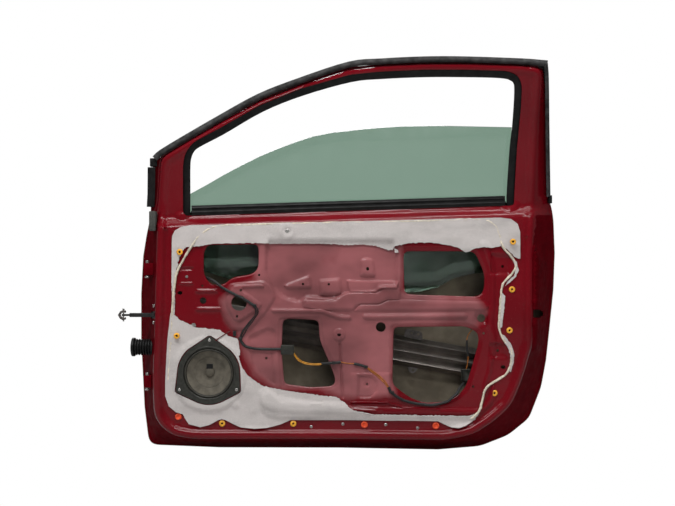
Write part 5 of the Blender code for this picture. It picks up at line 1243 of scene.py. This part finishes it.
class CARDOOR_OT_fasteners(DoorStep):
    """Trim clips, rubber plugs and the loose screws and bolts in the panel"""
    bl_idname = "car_door.fasteners"
    bl_label = "Fasteners"

    def build(self, look, paints):
        """Small turned pieces, each on its seat."""
        clip = [(3.3, 0), (3.3, 3.4), (4.1, 4.5), (7, 4.6), (7.9, 4), (9, 2.9), (9, 0)]
        # A near-black disc inside each clip stands for the shade in its hole: painted shade
        shade_disc = [(0, 0.8), (1.2, 0.8), (1.5, 1.8), (2.7, 1.8), (3.2, 1.2), (3.2, 0), (0, 0)]
        for node in numbered("trim_clip", 8):
            stud(node + "_fine", node_seat(node), clip, paints["clip"], 32, [node])
            stud(node + "_shade_disc", node_seat(node), shade_disc, paints["dark"], 20, [node])
        plug = [(0, 1.9), (3, 1.9), (4.6, 2.3), (5.5, 3.4), (6.6, 4.1), (8, 4), (9.4, 3.1), (10, 1.9),
                (10, 0), (0, 0)]
        for node in numbered("drain_plug", 3):
            stud(node + "_fine", node_seat(node), plug, paints["plug"], 36, [node])
        spots = [at(*place, float(depth)) for place, depth in zip(SCREWS_PX, rest_on(SCREWS_PX, 1.6))]
        for index, (name, spot) in enumerate(zip(numbered("panel_screw", len(spots)), spots)):
            size = 4.6 if index < 4 else 7
            screw = [(0, 1.2), (1.3, 1.2), (1.6, 2.6), (size * 0.7, 2.2), (size, 1), (size, -0.6), (0, -0.6)]
            stud(name, spot, screw, paints["bolt"])
        bolt = [(0, 2.4), (4.2, 2.4), (4.8, 1.6), (4.8, 0.9), (7.4, 0.9), (7.4, -0.6), (0, -0.6)]
        spots = [at(*place, float(depth)) for place, depth in zip(BOLTS_PX, rest_on(BOLTS_PX, 2.2))]
        for name, spot in zip(numbered("panel_bolt", len(spots)), spots):
            stud(name, spot, bolt, paints["bolt"], 6)


class CARDOOR_OT_steelwork(DoorStep):
    """The impact beam, brackets, hinges, door check and wiring gaiter"""
    bl_idname = "car_door.steelwork"
    bl_label = "Steelwork and gaiter"

    def build(self, look, paints):
        """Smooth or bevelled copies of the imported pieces."""
        refined("intrusion_beam", paints["steel"], 0, 45)
        for name, (outline, holes) in zip(numbered("beam_tab", 2), TABS_PX):
            rings = [oval(hole[:2], hole[2], hole[2], 14) for hole in holes]
            outline = divided(rounded(outline, 1.4, 3), 2)
            form, _ = pressed(outline, rings, [], 2, flat_at(103 * MM), 1.6 * MM)
            # The tabs are the beam's own steel; they take the dark metal as painted shade, for the shadow
            # they lie in
            add_piece(name, form, paints["hinge"])
        for node in ("beam_bracket_front", "beam_bracket_rear", "belt_reinforcement_inner",
                     "belt_reinforcement_outer", "hinge_reinforcement"):
            refined(node, paints["primer"], 0.3 * MM)
        # The hinge halves are body red; they take the darker copy of the red as painted shade
        for node in ("hinge_upper", "hinge_lower"):
            refined(node, paints["side"], 1 * MM)
        for node in ("hinge_pin_upper", "hinge_pin_lower", "check_bolt_upper", "check_bolt_lower"):
            refined(node, paints["bolt"], 0.5 * MM)
        refined("check_arm", paints["strap"], 0.8 * MM)
        refined("check_bracket", paints["hinge"], 0.8 * MM)
        refined("check_pin", paints["bolt"], 0.4 * MM)
        refined("check_housing", paints["strap"], 1 * MM)
        refined("wiring_gaiter", paints["rubber"], 0.8 * MM, 50)


class CARDOOR_OT_harness(DoorStep):
    """The wiring loom with its wires, clips and connectors"""
    bl_idname = "car_door.harness"
    bl_label = "Wiring loom"

    def build(self, look, paints):
        """Taped runs, single wires between them, clips and connectors."""
        def cable(name, path, radius, paint, sides=8, nodes=(), lump=0.0, seed=0.0):
            form = tubed(path, radius, sides, lump, seed)
            add_piece(name, form, paints[paint], nodes, 80)

        def holder(name, place, lift, size, edge):
            middle = at(*place, float(rest_on([place], 1.6)[0]) - lift)
            add_piece(name, block(middle - size, middle + size, edge), paints["strap"])

        thick = 4 * MM
        thin = look.wire_radius
        start = [at(206.5, 277.5, 20 * MM), at(210.5, 279.3, 3 * MM), at(215, 281.6, -9 * MM)]
        finish = [at(457, 393.6, -8 * MM), at(459.5, 388, 6 * MM), at(462.5, 384.4, 24 * MM),
                  at(464, 382.4, 33 * MM)]
        upper = laid([(222.5, 287.6), (232, 293), (244, 299), (254, 305.5)], thick)
        lower = laid([(240.6, 337.5), (241.6, 342), (247, 346.8), (260, 349), (281.5, 349)], thick)
        tape = laid([(321.5, 363.7), (331, 363), (341, 362.2)], thick)
        middle = laid([(354, 363.7), (360, 365), (367.5, 367.4)], thick)
        rear = laid([(388.5, 387), (392, 393), (404.6, 400.5), (420, 404), (434, 404.8), (448, 401.5)], thick)
        runs = [("loom_front_upper", start + upper, "loom_front"), ("loom_front_lower", lower, "loom_front"),
                ("loom_rear_tape", tape, "loom_rear"), ("loom_rear_tape_middle", middle, "loom_rear"),
                ("loom_rear_lower", rear + finish, "loom_rear")]
        for name, path, node in runs:
            cable(name, path, thick, "cable", 14, [node], 0.16, len(name))
        wires = {
            "wire_black_1": ("cable", [(253.6, 304.8), (256.2, 312), (250, 322.5), (243.6, 331),
                                       (240.4, 339)]),
            "wire_black_2": ("cable", [(255, 304.4), (258, 311.4), (253.6, 320), (247, 329), (241.4, 339)]),
            "wire_black_3": ("cable", [(254.4, 306), (255.4, 314), (247.6, 324), (242, 332),
                                       (239.6, 338.6)]),
            "wire_yellow": ("yellow", [(293.4, 352.2), (295.6, 355.4), (298.4, 358.8), (305, 362.5),
                                       (314, 363.8), (322.5, 363.6)]),
            "wire_yellow_2": ("yellow", [(293.4, 353.6), (298, 360), (305, 363.7), (314, 364.9),
                                         (322.5, 364.4)]),
            "wire_orange_1": ("orange", [(340.5, 362), (347, 363.2), (354.6, 363.8)]),
            "wire_orange_2": ("orange", [(366.8, 367), (376, 373.2), (383, 379.2), (387, 384), (389, 388)]),
            "wire_orange_3": ("orange", [(366.8, 368), (375.4, 374.6), (382, 380.6), (386, 385),
                                         (388.6, 388)]),
            "wire_dark_red": ("dark_red", [(215.5, 340.5), (223, 335.4), (230.3, 331)]),
        }
        for name, (paint, route) in wires.items():
            cable(name, laid(route, thin, 6, 1.6), thin, paint)
        inside = [at(466, 370, 34 * MM), at(467.4, 364, 32 * MM), at(468.2, 356, 30 * MM),
                  at(467, 348, 30 * MM), at(466.8, 340, 28 * MM), at(468.7, 334, 26 * MM),
                  at(473.5, 328, 24 * MM)]
        cable("wire_orange_inner", flowing(inside, 5), thin, "orange")
        cable("wire_tape_inner", flowing(inside[2:5], 3), 2.8 * MM, "cable", 10, lump=0.3, seed=3)
        places = [(254.7, 305.8), (240.3, 338.6), (334, 362.8), (366, 367), (392.4, 392.6)]
        for name, place in zip(numbered("loom_clip", len(places)), places):
            holder(name, place, 9.4 * MM, Vector((5.2, 1.6, 4.6)) * MM, 1.2 * MM)
        holder("loom_stub", (234.6, 333.5), 3.4 * MM, Vector((4.4, 3, 7.4)) * MM, 1 * MM)
        for node in ("connector_front", "connector_rear"):
            refined(node, paints["frame"], 0.8 * MM)


def studio_white():
    """A floor that the camera sees as pure white, also through the glass, and other rays as pale grey."""
    pale = bpy.data.materials.new("backdrop_white")
    pale.use_nodes = True
    tree = pale.node_tree
    surface = tree.nodes["Principled BSDF"]
    surface.inputs["Base Color"].default_value = (0.55, 0.55, 0.55, 1)
    surface.inputs["Roughness"].default_value = 0.9
    glow = tree.nodes.new("ShaderNodeEmission")
    glow.inputs["Color"].default_value = (1, 1, 1, 1)
    ray = tree.nodes.new("ShaderNodeLightPath").outputs
    choice = tree.nodes.new("ShaderNodeMixShader")
    seen = combined(tree, "MAXIMUM", ray["Is Camera Ray"], ray["Is Transmission Ray"])
    tree.links.new(seen, choice.inputs[0])
    tree.links.new(surface.outputs[0], choice.inputs[1])
    tree.links.new(glow.outputs[0], choice.inputs[2])
    tree.links.new(choice.outputs[0], tree.nodes["Material Output"].inputs["Surface"])
    return pale


def studio_world():
    """A world that is white to the camera and through the glass, and dim in reflections and as light."""
    world = bpy.data.worlds.new("studio")
    world.use_nodes = True
    tree = world.node_tree
    tree.nodes["Background"].inputs["Color"].default_value = (1, 1, 1, 1)
    ray = tree.nodes.new("ShaderNodeLightPath").outputs
    strength = ray["Is Camera Ray"]
    for output, level in (("Is Transmission Ray", 1), ("Is Glossy Ray", 0.2), ("Is Diffuse Ray", 0.1)):
        share = combined(tree, "MULTIPLY", ray[output], level)
        strength = combined(tree, "MAXIMUM", strength, share)
    tree.links.new(strength, tree.nodes["Background"].inputs["Strength"])
    return world


class CARDOOR_OT_stage(DoorStep):
    """Camera, lights, world and floor"""
    bl_idname = "car_door.stage"
    bl_label = "Stage"

    def build(self, look, paints):
        """Soft studio light on the door, seen squarely from the cabin side."""
        scene = bpy.context.scene

        def placed(name, data):
            item = bpy.data.objects.new(name, data)
            scene.collection.objects.link(item)
            return item

        camera = bpy.data.cameras.new("camera")
        camera.lens = 45.18
        camera.sensor_width = 36
        scene.camera = placed("camera", camera)
        scene.camera.location = (-ORIGIN.x, -VIEW - ORIGIN.y, -ORIGIN.z)
        scene.camera.rotation_euler = (math.radians(90), 0, 0)
        lights = {
            "key_light": ((-0.3, -2.2, 2.9), (3.6, 0.5), 118),
            "top_light": ((0.8, -1.1, 3.2), (3.2, 0.35), 66),
            "fill_light": ((1.6, -4.4, 0.9), (2.2, 2.2), 44),
            "back_light": ((0.2, 3.2, 1.9), (2.4, 1.2), 70),
        }
        for name, (place, size, power) in lights.items():
            lamp = bpy.data.lights.new(name, "AREA")
            lamp.shape = "RECTANGLE"
            lamp.size, lamp.size_y = size
            lamp.energy = power
            item = placed(name, lamp)
            item.location = place
            item.rotation_euler = (DOOR_MIDDLE - Vector(place)).to_track_quat("-Z", "Y").to_euler()
            item.visible_glossy = name != "fill_light"
        form = bmesh.new()
        height = CAD_BOX[0].z - 2 * MM
        form.faces.new([form.verts.new((across, depth, height))
                        for across, depth in ((-5, -5), (6, -5), (6, 6), (-5, 6))])
        mesh = bpy.data.meshes.new("floor")
        form.to_mesh(mesh)
        form.free()
        mesh.materials.append(studio_white())
        placed("floor", mesh)
        scene.world = studio_world()
        scene.view_settings.view_transform = "Standard"
        scene.render.use_compositing = False


STEPS = (CARDOOR_OT_inner_panel, CARDOOR_OT_outer_skin, CARDOOR_OT_glass, CARDOOR_OT_seals, CARDOOR_OT_felt,
         CARDOOR_OT_butyl, CARDOOR_OT_speaker, CARDOOR_OT_fasteners, CARDOOR_OT_steelwork, CARDOOR_OT_harness,
         CARDOOR_OT_stage)


class CARDOOR_PT_pieces(bpy.types.Panel):
    """Car door tools in the sidebar"""
    bl_idname = "CARDOOR_PT_pieces"
    bl_label = "Car Door"
    bl_space_type = "VIEW_3D"
    bl_region_type = "UI"
    bl_category = "Car Door"

    def draw(self, context):
        """List the sizes, the colours and the steps."""
        look = context.scene.car_door
        for name in DoorLook.__annotations__:
            self.layout.prop(look, name)
        for step in STEPS:
            self.layout.operator(step.bl_idname)


CLASSES = (DoorLook, *STEPS, CARDOOR_PT_pieces)


def register():
    """Add the classes and the door's settings."""
    for item in CLASSES:
        bpy.utils.register_class(item)
    bpy.types.Scene.car_door = PointerProperty(type=DoorLook)


def unregister():
    """Take the classes and the door's settings away."""
    del bpy.types.Scene.car_door
    for item in reversed(CLASSES):
        bpy.utils.unregister_class(item)


def main():
    """Build every piece and the stage."""
    register()
    for step in STEPS:
        group, name = step.bl_idname.split(".")
        getattr(getattr(bpy.ops, group), name)()


if __name__ == "__main__":
    main()
